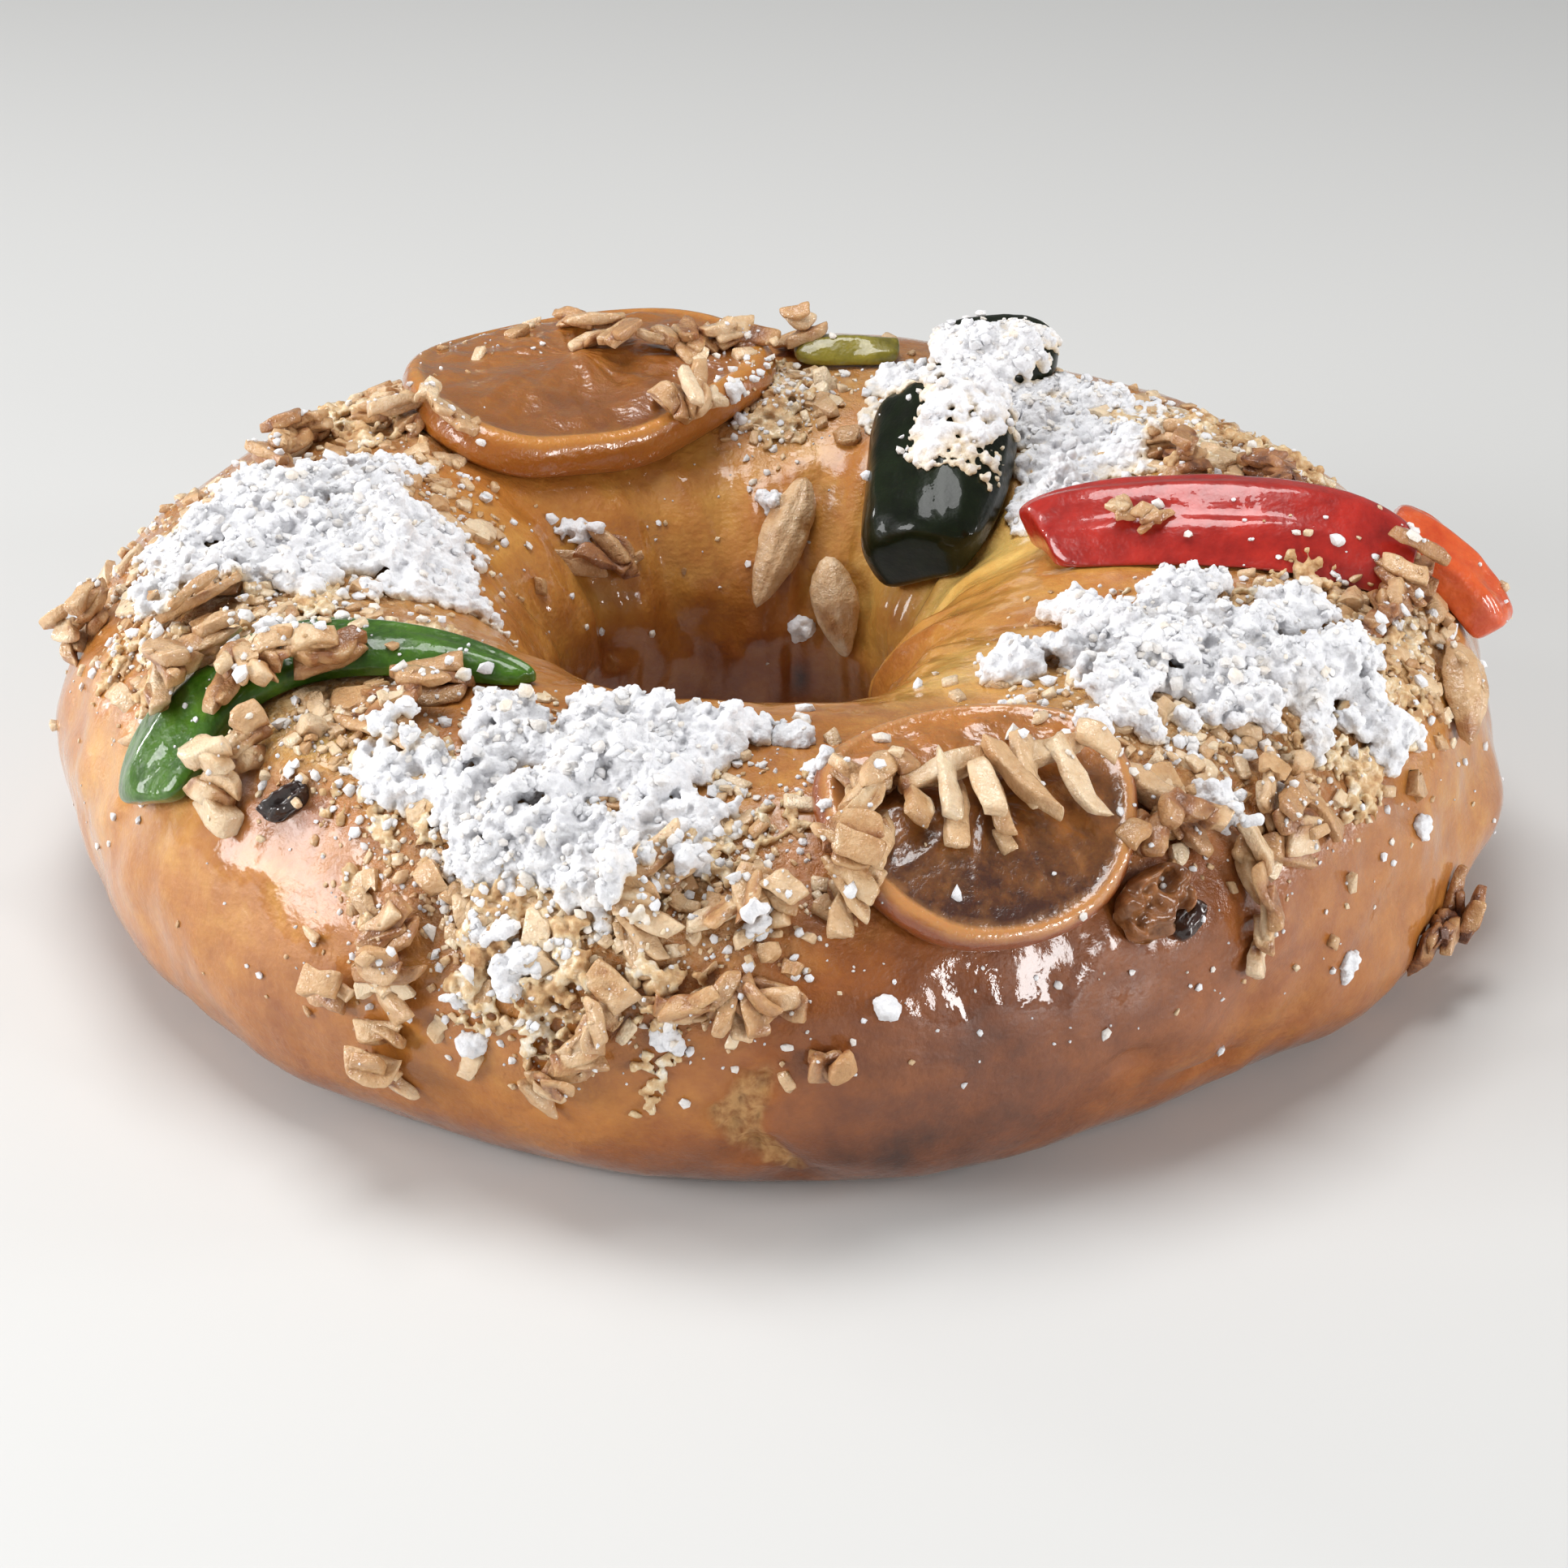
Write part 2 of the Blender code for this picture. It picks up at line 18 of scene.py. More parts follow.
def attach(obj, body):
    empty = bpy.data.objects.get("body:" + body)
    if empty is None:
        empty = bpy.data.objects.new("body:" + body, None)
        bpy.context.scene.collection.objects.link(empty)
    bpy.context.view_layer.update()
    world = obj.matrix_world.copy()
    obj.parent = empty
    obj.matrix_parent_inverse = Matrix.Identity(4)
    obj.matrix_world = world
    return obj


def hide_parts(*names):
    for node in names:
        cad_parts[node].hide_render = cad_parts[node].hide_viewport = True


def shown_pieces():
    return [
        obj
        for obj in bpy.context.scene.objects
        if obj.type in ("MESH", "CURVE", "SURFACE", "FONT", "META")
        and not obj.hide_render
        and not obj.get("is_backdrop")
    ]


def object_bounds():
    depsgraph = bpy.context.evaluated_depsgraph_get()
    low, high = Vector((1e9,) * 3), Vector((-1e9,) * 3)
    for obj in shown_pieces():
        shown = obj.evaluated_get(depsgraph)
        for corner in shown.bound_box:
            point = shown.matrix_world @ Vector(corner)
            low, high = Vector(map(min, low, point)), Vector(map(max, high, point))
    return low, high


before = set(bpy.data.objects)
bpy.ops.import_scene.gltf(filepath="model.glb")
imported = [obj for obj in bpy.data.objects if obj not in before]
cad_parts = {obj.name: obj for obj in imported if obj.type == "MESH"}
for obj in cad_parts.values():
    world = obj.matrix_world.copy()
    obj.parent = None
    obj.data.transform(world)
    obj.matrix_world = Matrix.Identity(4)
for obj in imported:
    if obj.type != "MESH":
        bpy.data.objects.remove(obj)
CAD_BOX = [list(corner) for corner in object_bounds()]
print("CAD box in mm:", [[round(1000 * value, 1) for value in corner] for corner in CAD_BOX])

# %% [markdown]
# ## Finding one's way on the loaf
#
# A place on a ring loaf is easiest to say with two angles. `ring` goes round the loaf, 0 at +X and 90 at
# +Y. `lean` goes round the dough's own section, seen from the core line inside it: 0 points outwards, 90
# up, 180 into the hole. The section is a superellipse whose size changes round the loaf, as hand-shaped
# dough does. NumPy works out all the points of a piece at once, which is much quicker than a Python loop.

# %% The loaf's section and its sizes
CORE_RADIUS, CORE_HEIGHT = 0.080, 0.026
RING_CENTRE = (0.0, 0.0057)
FOOT_REACH, UPPER_ROUNDNESS, LOWER_ROUNDNESS = 1.18, 2.15, 2.6
OUTER_RADIUS_AT = {
    0: 0.122, 30: 0.118, 60: 0.117, 90: 0.118, 120: 0.119, 150: 0.122,
    180: 0.125, 210: 0.122, 240: 0.121, 270: 0.122, 300: 0.118, 330: 0.118,
}
HOLE_RADIUS_AT = {
    0: 0.021, 45: 0.027, 90: 0.030, 135: 0.034, 180: 0.039,
    215: 0.044, 250: 0.046, 280: 0.042, 308: 0.026, 338: 0.015,
}
HEIGHT_AT = {
    0: 0.062, 45: 0.061, 90: 0.062, 135: 0.063, 180: 0.063, 225: 0.062, 270: 0.061, 315: 0.062,
}
# ring, lean, rise, and the spread in ring and lean degrees
SWELLINGS = (
    (-14, -6, 0.0040, 6, 12), (100, 190, 0.0050, 16, 22), (-30, -30, 0.0030, 14, 20),
    (-48, -20, -0.0020, 7, 25), (232, 50, 0.0015, 10, 14), (150, 150, -0.0020, 8, 25),
    (60, 175, -0.0020, 9, 20), (300, -25, -0.0020, 8, 14),
)


def between_stations(ring, stations):
    """Eases round the ring between the values given at a few angles."""
    keys = sorted(stations)
    angles = np.array(keys + [keys[0] + 360.0])
    values = np.array([stations[key] for key in keys + [keys[0]]])
    ring = np.mod(ring, 360.0)
    here = np.clip(np.searchsorted(angles, ring, side="right") - 1, 0, len(keys) - 1)
    share = (ring - angles[here]) / (angles[here + 1] - angles[here])
    share = share * share * (3 - 2 * share)
    return values[here] * (1 - share) + values[here + 1] * share


def patch(ring, lean, at_ring, at_lean, wide, high):
    """A soft spot: 1 at its middle, fading over wide and high degrees."""
    across = np.mod(ring - at_ring + 180, 360) - 180
    up = np.mod(lean - at_lean + 180, 360) - 180
    return np.exp(-((across / wide) ** 2 + (up / high) ** 2))


def section_reach(ring, lean):
    """How far the crust lies from the core line, before the base is flattened."""
    out, up = np.cos(np.radians(lean)), np.sin(np.radians(lean))
    side = np.where(
        out > 0,
        between_stations(ring, OUTER_RADIUS_AT) - CORE_RADIUS,
        CORE_RADIUS - between_stations(ring, HOLE_RADIUS_AT),
    )
    rise = np.where(up > 0, between_stations(ring, HEIGHT_AT) - CORE_HEIGHT, CORE_HEIGHT * FOOT_REACH)
    power = np.where(up > 0, UPPER_ROUNDNESS, LOWER_ROUNDNESS)
    reach = (np.abs(out / side) ** power + np.abs(up / rise) ** power) ** (-1 / power)
    for at_ring, at_lean, swell, wide, high in SWELLINGS:
        reach = reach + swell * patch(ring, lean, at_ring, at_lean, wide, high)
    return reach


def crust_points(ring, lean, relief=0.0):
    """Points of the crust, with relief added to its reach. The base stays flat at z = 0."""
    out, up = np.cos(np.radians(lean)), np.sin(np.radians(lean))
    reach = section_reach(ring, lean) + relief
    reach = np.where(up < 0, np.minimum(reach, CORE_HEIGHT / np.maximum(-up, 1e-6)), reach)
    radius, angle = CORE_RADIUS + reach * out, np.radians(ring)
    x, y = RING_CENTRE[0] + radius * np.cos(angle), RING_CENTRE[1] + radius * np.sin(angle)
    return np.stack((x, y, CORE_HEIGHT + reach * up), axis=-1)


def crust_frame(ring, lean):
    """The crust's points and its unit directions there: along the ring, up the section and straight out."""
    ring, lean = np.asarray(ring, float), np.asarray(lean, float)
    along = crust_points(ring + 0.5, lean) - crust_points(ring - 0.5, lean)
    climb = crust_points(ring, lean + 0.5) - crust_points(ring, lean - 0.5)
    along /= np.linalg.norm(along, axis=-1, keepdims=True)
    outward = np.cross(along, climb)
    outward /= np.linalg.norm(outward, axis=-1, keepdims=True)
    return crust_points(ring, lean), along, np.cross(outward, along), outward


def towards(along, climb, degrees):
    """The direction that many degrees from along, turning to climb."""
    turn = math.radians(degrees)
    return along * math.cos(turn) + climb * math.sin(turn)


def on_crust(place, flat):
    """Wraps flat points (along, across, height) on the crust round a place (ring, lean, turn)."""
    ring, lean, turn = place
    flat = np.asarray(flat, float)
    swing = math.radians(turn)
    along = flat[:, 0] * math.cos(swing) - flat[:, 1] * math.sin(swing)
    climb = flat[:, 0] * math.sin(swing) + flat[:, 1] * math.cos(swing)
    reach = float(section_reach(np.array([ring]), np.array([lean]))[0])
    leans = lean + np.degrees(climb / reach)
    rings = ring + np.degrees(along / (CORE_RADIUS + reach * np.cos(np.radians(leans))))
    points, _, _, outward = crust_frame(rings, leans)
    return points + outward * flat[:, 2:3], outward


print("crest of the loaf over the front:", crust_points(np.array([270.0]), np.array([90.0])).round(4))

# %% [markdown]
# ## Small helpers for meshes
#
# Each piece is made as a bmesh, put in an object that sits at the origin and rides on the model's one body.
# Voxel remeshing fuses overlapping lumps into one skin: that is how clumps of sugar come to look like one
# thing.

# %% Helpers: add a piece, fuse it, roughen it
def add_piece(name, shape, material, slot, *nodes):
    """Puts a bmesh in the scene as a piece that stands for the named CAD nodes."""
    mesh = bpy.data.meshes.new(name)
    shape.to_mesh(mesh)
    shape.free()
    mesh.materials.append(material)
    mesh.shade_smooth()
    piece = bpy.data.objects.new(name, mesh)
    bpy.context.scene.collection.objects.link(piece)
    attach(piece, "root")
    if nodes:
        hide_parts(*nodes)
    return piece


def settle_mesh(piece):
    """Makes what the modifiers show the piece's own mesh."""
    material = piece.data.materials[0]
    bpy.context.view_layer.update()
    shown = piece.evaluated_get(bpy.context.evaluated_depsgraph_get())
    mesh = bpy.data.meshes.new_from_object(shown)
    piece.modifiers.clear()
    piece.data = mesh
    mesh.materials.clear()
    mesh.materials.append(material)
    mesh.shade_smooth()


def fuse(piece, voxel):
    """Joins everything that overlaps in a piece into one skin."""
    remesh = piece.modifiers.new("fuse", "REMESH")
    remesh.mode = "VOXEL"
    remesh.voxel_size = voxel
    settle_mesh(piece)


def places_of(mesh):
    """All the vertex places of a mesh as an array."""
    flat = np.empty(len(mesh.vertices) * 3)
    mesh.vertices.foreach_get("co", flat)
    return flat.reshape(-1, 3)


def put_places(mesh, places):
    """Moves all the vertices of a mesh to new places."""
    mesh.vertices.foreach_set("co", np.ascontiguousarray(places, dtype=float).ravel())
    mesh.update()


def ripple(places, size, seed=0.0):
    """Smooth noise from -1 to 1 at each place, with features of the given size in metres."""
    shift = Vector((seed * 7.3, seed * 3.1, seed * 5.7))
    return np.array([noise.noise(Vector(place) / size + shift) for place in places])


def roughen(piece, *layers):
    """Pushes a piece's surface in and out along its normals by layers of noise (depth, size)."""
    mesh = piece.data
    places = places_of(mesh)
    normals = np.array([vert.normal[:] for vert in mesh.vertices])
    push = np.zeros(len(places))
    for number, (depth, size) in enumerate(layers):
        push += depth * ripple(places, size, number + 1)
    places = places + normals * push[:, None]
    places[:, 2] = np.maximum(places[:, 2], 0.0)
    put_places(mesh, places)


def paint_attribute(piece, name, values):
    """Stores one number for each vertex, for the material to read."""
    layer = piece.data.attributes.new(name, "FLOAT", "POINT")
    layer.data.foreach_set("value", np.ascontiguousarray(values, dtype=np.float32))


def triangles(piece):
    """How many triangles a piece has."""
    return sum(len(face.vertices) - 2 for face in piece.data.polygons)


# %% [markdown]
# ## Materials
#
# Food is seen through thin clear layers: syrup over crust, caramel over almond, jelly right through the
# fruit. The Principled shader has all three. The base colour is mottled with noise on Object coordinates,
# subsurface scattering softens it, and the coat is the syrup. The helpers keep each material short enough
# to read.

# %% Helpers: shader nodes
class Finish:
    """A Principled material that is built up from a few plain steps."""

    def __init__(
        self, name, roughness=0.5, coat=0.0, coat_roughness=0.05, soft=0.0, soft_reach=(1, 0.4, 0.2)
    ):
        self.material = bpy.data.materials.new(name)
        self.material.use_nodes = True
        self.tree = self.material.node_tree
        self.shader = self.tree.nodes["Principled BSDF"]
        self.place = self.tree.nodes.new("ShaderNodeTexCoord").outputs["Object"]
        self.set("Roughness", roughness)
        self.set("Coat Weight", coat)
        self.set("Coat Roughness", coat_roughness)
        self.set("Subsurface Weight", soft)
        self.set("Subsurface Radius", soft_reach)
        self.set("Subsurface Scale", 0.003)

    def set(self, socket, value):
        """Sets a number or colour that is the same all over."""
        self.shader.inputs[socket].default_value = value

    def join(self, source, target):
        self.tree.links.new(source, target)

    def feed(self, socket, source):
        """Joins a source to one of the shader's sockets."""
        self.join(source, self.shader.inputs[socket])

    def noise(self, size, detail=3.0, roughness=0.55, stretch=None):
        """Noise whose features are about size metres across."""
        node = self.tree.nodes.new("ShaderNodeTexNoise")
        node.inputs["Scale"].default_value = 1 / size
        node.inputs["Detail"].default_value = detail
        node.inputs["Roughness"].default_value = roughness
        place = self.place
        if stretch:
            mapping = self.tree.nodes.new("ShaderNodeMapping")
            mapping.inputs["Scale"].default_value = stretch
            self.join(place, mapping.inputs["Vector"])
            place = mapping.outputs["Vector"]
        self.join(place, node.inputs["Vector"])
        return node.outputs["Fac"]

    def cells(self, size):
        """Rounded grains about size metres across: 0 at their middles, rising to their joints."""
        node = self.tree.nodes.new("ShaderNodeTexVoronoi")
        node.inputs["Scale"].default_value = 1 / size
        self.join(self.place, node.inputs["Vector"])
        return node.outputs["Distance"]

    def attribute(self, name):
        """A number that the piece stores at each vertex."""
        node = self.tree.nodes.new("ShaderNodeAttribute")
        node.attribute_name = name
        return node.outputs["Fac"]

    def sum(self, *parts):
        """Adds sources, each times its weight."""
        total = None
        for source, weight in parts:
            node = self.tree.nodes.new("ShaderNodeMath")
            node.operation = "MULTIPLY_ADD"
            self.join(source, node.inputs[0])
            node.inputs[1].default_value = weight
            if total is None:
                node.inputs[2].default_value = 0.0
            else:
                self.join(total, node.inputs[2])
            total = node.outputs[0]
        return total

    def times(self, first, second):
        """Multiplies two sources."""
        node = self.tree.nodes.new("ShaderNodeMath")
        node.operation = "MULTIPLY"
        self.join(first, node.inputs[0])
        self.join(second, node.inputs[1])
        return node.outputs[0]

    def fit(self, source, low, high, new_low=0.0, new_high=1.0):
        """Stretches a source from one range to another and clamps it there."""
        node = self.tree.nodes.new("ShaderNodeMapRange")
        self.join(source, node.inputs["Value"])
        limits = {"From Min": low, "From Max": high, "To Min": new_low, "To Max": new_high}
        for socket, value in limits.items():
            node.inputs[socket].default_value = value
        return node.outputs["Result"]

    def ramp(self, source, *stops):
        """A colour ramp with stops (position, (r, g, b))."""
        node = self.tree.nodes.new("ShaderNodeValToRGB")
        elements = node.color_ramp.elements
        while len(elements) < len(stops):
            elements.new(0.5)
        for element, (position, colour) in zip(elements, stops):
            element.position = position
            element.color = (*colour, 1)
        self.join(source, node.inputs["Fac"])
        return node.outputs["Color"]

    def blend(self, share, first, second):
        """Mixes two colours, each a socket or an (r, g, b)."""
        node = self.tree.nodes.new("ShaderNodeMix")
        node.data_type = "RGBA"
        self.join(share, node.inputs["Factor"])
        for socket, colour in ((node.inputs[6], first), (node.inputs[7], second)):
            if isinstance(colour, tuple):
                socket.default_value = (*colour, 1)
            else:
                self.join(colour, socket)
        return node.outputs[2]

    def bump(self, height, depth, socket="Normal"):
        """Turns a height source into a bump of the given depth in metres."""
        node = self.tree.nodes.new("ShaderNodeBump")
        node.inputs["Strength"].default_value = 1.0
        node.inputs["Distance"].default_value = depth
        self.join(height, node.inputs["Height"])
        self.feed(socket, node.outputs["Normal"])


# %% [markdown]
# ## The crust
#
# The skin is a flat sheet of small squares, rolled into a torus and joined where its edges meet, as a baker
# rolls and joins the dough. Its points then move out to the loaf's section. Low relief is added on the way:
# the unevenness of risen dough, drips of syrup on the walls, and the torn place at the front where the
# dough burst. Attributes tell the material how far each place is browned, with shade painted in at the
# base and low in the hole, how much fine sugar lies on it and where it is matt.

# %% Roll the crust's skin
SKIN_RING_STEPS, SKIN_SECTION_STEPS = 600, 160


def rolled_sheet(ring_steps, section_steps):
    """A flat sheet of squares from -1 to 1, to be rolled into a ring."""
    shape = bmesh.new()
    bmesh.ops.create_grid(shape, x_segments=ring_steps, y_segments=section_steps, size=1)
    return shape


skin = rolled_sheet(SKIN_RING_STEPS, SKIN_SECTION_STEPS)
for vert in skin.verts:
    turn, slope = math.pi * vert.co.x, math.radians(90) + math.pi * vert.co.y
    out = CORE_RADIUS + 0.02 * math.cos(slope)
    vert.co = (out * math.cos(turn), out * math.sin(turn), 0.02 * math.sin(slope))
bmesh.ops.remove_doubles(skin, verts=skin.verts, dist=1e-6)
bmesh.ops.recalc_face_normals(skin, faces=skin.faces)
rolled = np.array([vert.co[:] for vert in skin.verts])
ring_at = np.degrees(np.arctan2(rolled[:, 1], rolled[:, 0]))
lean_at = np.degrees(np.arctan2(rolled[:, 2], np.hypot(rolled[:, 0], rolled[:, 1]) - CORE_RADIUS))
print("skin of", len(skin.faces), "faces")

# %% Relief of the crust
smooth_places = crust_points(ring_at, lean_at)
inner_wall = patch(0 * ring_at, lean_at, 0, 172, 1, 40)
outer_wall = patch(0 * ring_at, lean_at, 0, 5, 1, 38)
relief = 0.0011 * ripple(smooth_places, 0.030, 1) + 0.0006 * ripple(smooth_places, 0.012, 2)
relief += 0.00025 * ripple(smooth_places, 0.0050, 3)
# syrup runs down the walls in soft ridges, so this noise is stretched down the section
drips = np.array([
    noise.noise(Vector((math.cos(turn) * 5, math.sin(turn) * 5, slope * 0.014)))
    + 0.35 * noise.noise(Vector((math.cos(turn) * 11, math.sin(turn) * 11, slope * 0.035 + 7)))
    for turn, slope in zip(np.radians(ring_at), lean_at)
])
relief += 0.0022 * drips * (inner_wall + 0.35 * outer_wall)
relief += 0.0013 * ripple(smooth_places, 0.0085, 4) * patch(ring_at, lean_at, 308, 4, 36, 36)
relief += 0.0010 * ripple(smooth_places, 0.0070, 6) * inner_wall
relief += 0.0009 * ripple(smooth_places, 0.0080, 8) * patch(ring_at, lean_at, 203, 20, 22, 32)
relief += 0.0024 * patch(ring_at, lean_at, 226.5, 47, 3.4, 7)
tear_line = 268.0 + 1.6 * np.sin(np.radians(lean_at * 9)) - 0.05 * lean_at
from_tear = np.mod(ring_at - tear_line + 180, 360) - 180
ragged = 1 + 0.5 * ripple(smooth_places, 0.006, 9)
tear = 1.5 * np.exp(-((from_tear / (2.1 * ragged)) ** 2)) * patch(0 * ring_at, lean_at, 0, -12, 1, 20)
tear = np.clip(tear, 0, 1)
relief += tear * (-0.0012 + 0.0022 * ripple(smooth_places, 0.0030, 5))
slit = patch(ring_at, lean_at, 295.5, -8, 2.2, 1.6) + patch(ring_at, lean_at, 305, -24, 3.0, 1.8)
relief -= 0.0018 * slit
relief *= np.clip(smooth_places[:, 2] / 0.004, 0, 1)
for vert, place in zip(skin.verts, crust_points(ring_at, lean_at, relief)):
    vert.co = place

# %% [markdown]
# The glaze browns most where the oven was hottest: the front right flank is red-brown, the crest golden,
# and the dough near the fruit in the hole still yellow. A few soft spots set that, and noise in the shader
# breaks them up. Shade is painted into the same number: the underside and lower flank, where the loaf sits
# on the floor, and the low back wall of the hole are made darker.

# %% How far each place is browned, and where shade is painted
# ring, lean, spread in ring and lean degrees, and how much darker
BAKE_AND_SHADE_SPOTS = (
    (283, 2, 18, 40, 0.19), (300, 18, 22, 26, 0.12), (330, 0, 20, 34, -0.08),
    (274, -22, 13, 13, 0.16), (256, -10, 11, 14, -0.14), (240, 8, 26, 24, -0.04),
    (205, 10, 26, 34, -0.12), (226, 52, 9, 14, -0.30), (120, 150, 24, 20, -0.06),
    # (118, 184) and (100, 208) are painted shade on the low back wall of the hole
    (118, 184, 40, 20, 0.10), (100, 208, 50, 18, 0.14), (10, 150, 26, 34, -0.32),
    (55, 172, 20, 24, -0.18), (350, 176, 24, 24, 0.06), (300, 122, 16, 22, -0.20),
    (190, 130, 34, 26, 0.02), (320, 80, 30, 30, -0.06), (285, 82, 14, 20, -0.05),
    (228, 40, 5, 8, 0.30), (150, 178, 5, 6, 0.30), (84, 190, 4, 5, 0.45), (0, 40, 30, 50, -0.06),
)
bake_and_shade = 0.40 + 0.06 * np.cos(np.radians(lean_at)) - 0.04 * np.sin(np.radians(lean_at))
for at_ring, at_lean, wide, high, darker in BAKE_AND_SHADE_SPOTS:
    bake_and_shade = bake_and_shade + darker * patch(ring_at, lean_at, at_ring, at_lean, wide, high)
# painted shade: the underside and the lower flank darken where the loaf meets the floor
bake_and_shade += 0.50 * patch(0 * ring_at, lean_at, 0, 270, 1, 46)
bake_and_shade += 0.12 * drips * inner_wall

# fine sugar and almond meal, stuck in the syrup between the heaps
FROST_SPOTS = (
    (254, 40, 13, 20, 1.0), (222, 60, 12, 18, 0.8), (322, 72, 22, 32, 1.0),
    (190, 80, 26, 34, 0.9), (45, 104, 30, 26, 0.9), (93, 122, 9, 14, 1.0),
    (341, 52, 14, 16, 0.8), (148, 84, 14, 26, 0.7),
)
frost = np.zeros(len(bake_and_shade))
for at_ring, at_lean, wide, high, thickly in FROST_SPOTS:
    frost = np.maximum(frost, thickly * patch(ring_at, lean_at, at_ring, at_lean, wide, high))

# places where the syrup soaked in and the skin is matt: low at the front left, and the torn dough
matt = 0.6 * patch(ring_at, lean_at, 254, -12, 15, 14)
matt = np.maximum(matt, 0.4 * patch(0 * ring_at, lean_at, 0, -25, 1, 24))
matt = np.maximum(matt, tear)

crust = Finish("syrup_glazed_crust", roughness=0.5, coat=1.0, coat_roughness=0.03, soft=0.10)
crust.set("Coat IOR", 1.45)
crust.set("Specular IOR Level", 0.3)
baked_and_shaded = crust.sum(
    (crust.attribute("bake_and_shade"), 1.0), (crust.noise(0.020, 3), 0.36), (crust.noise(0.005, 3), 0.22),
    (crust.noise(0.0011, 2), 0.10),
)
crust_colour = crust.ramp(
    crust.fit(baked_and_shaded, 0.34, 1.26),
    (0.0, (0.76, 0.49, 0.140)), (0.20, (0.60, 0.30, 0.060)), (0.40, (0.43, 0.160, 0.026)),
    (0.60, (0.28, 0.082, 0.013)), (0.80, (0.16, 0.042, 0.008)), (1.0, (0.050, 0.014, 0.005)),
)
dusting = crust.times(crust.attribute("frost"), crust.fit(crust.noise(0.0022, 5, 0.75), 0.38, 0.56))
torn = crust.attribute("matt")
crumb_tan = crust.ramp(crust.noise(0.0016, 4), (0.35, (0.24, 0.095, 0.028)), (0.62, (0.48, 0.27, 0.105)))
crust_colour = crust.blend(crust.fit(torn, 0.62, 0.95, 0.0, 0.85), crust_colour, crumb_tan)
meal = crust.ramp(crust.noise(0.0014, 3), (0.35, (0.50, 0.28, 0.10)), (0.65, (0.76, 0.58, 0.34)))
crust.feed("Base Color", crust.blend(crust.fit(dusting, 0.05, 0.8, 0.0, 0.85), crust_colour, meal))
crust.feed("Roughness", crust.fit(crust.noise(0.004, 3), 0.3, 0.7, 0.36, 0.6))
dullness = crust.sum((torn, 1.0), (dusting, 0.6), (crust.noise(0.012, 3), 0.3))
crust.feed("Coat Weight", crust.fit(dullness, 0.35, 1.1, 1.0, 0.12))
pores = crust.sum((crust.noise(0.0045, 3), 1.0), (crust.noise(0.0011, 3), 0.40), (dusting, 1.0))
crust.bump(pores, 0.0006)
runs = crust.noise(0.0090, 2, 0.4, stretch=(1, 1, 0.5))
stipple = crust.times(crust.noise(0.0008, 2), crust.fit(crust.noise(0.016, 3), 0.44, 0.60))
glaze_waves = crust.sum((runs, 1.0), (crust.noise(0.0030, 2), 0.14), (stipple, 0.08), (dusting, 0.8))
crust.bump(glaze_waves, 0.0006, "Coat Normal")

loaf = add_piece("crust_skin", skin, crust.material, "crust", "dough_ring")
paint_attribute(loaf, "bake_and_shade", bake_and_shade)
paint_attribute(loaf, "frost", frost)
paint_attribute(loaf, "matt", matt)
print("crust:", triangles(loaf), "triangles")

# %% [markdown]
# ## Candied fruit
#
# Each fruit is modelled lying flat, at its real size, and is then wrapped on the crust. A block of fruit
# starts as a subdivided cube that is pulled to a rounded block, because that gives even faces and soft
# corners at once. An orange slice is a lathe: half its section is spun round its middle.

# %% Helpers: a rounded block, a lathe, and the wrapping
def rounded_block(cuts, power):
    """A cube from -1 to 1 with evenly spaced faces, pulled in at its corners. A higher power is squarer."""
    shape = bmesh.new()
    bmesh.ops.create_cube(shape, size=2)
    bmesh.ops.subdivide_edges(shape, edges=shape.edges, cuts=cuts, use_grid_fill=True)
    for vert in shape.verts:
        vert.co /= sum(abs(value) ** power for value in vert.co) ** (1 / power)
    return shape


def lathe(section, steps):
    """Spins a section of (radius, height) points round the Z axis."""
    shape = bmesh.new()
    verts = [shape.verts.new((radius, 0, height)) for radius, height in section]
    for here, there in zip(verts, verts[1:]):
        shape.edges.new((here, there))
    bmesh.ops.spin(
        shape, geom=shape.verts[:] + shape.edges[:], cent=(0, 0, 0), axis=(0, 0, 1),
        angle=math.tau, steps=steps, use_merge=True,
    )
    bmesh.ops.remove_doubles(shape, verts=shape.verts, dist=1e-5)
    return shape


def wrap_on_crust(shape, place, lift=0.0003, stiffness=0.0):
    """Wraps a flat shape, with its underside at z = 0, on the crust. A stiff one stays straight on top."""
    flat = np.array([vert.co[:] for vert in shape.verts])
    flat[:, 2] += lift
    points = on_crust(place, flat)[0]
    if stiffness:
        ring, lean, turn = place
        here, along, climb, outward = crust_frame(ring, lean)
        axis, side = towards(along, climb, turn), towards(climb, -along, turn)
        straight = here + flat[:, :1] * axis + flat[:, 1:2] * side + flat[:, 2:] * outward
        share = stiffness * np.clip(flat[:, 2:] / flat[:, 2].max(), 0, 1) ** 0.5
        points = points * (1 - share) + straight * share
    for vert, point in zip(shape.verts, points):
        vert.co = point
    bmesh.ops.recalc_face_normals(shape, faces=shape.faces)
    return shape


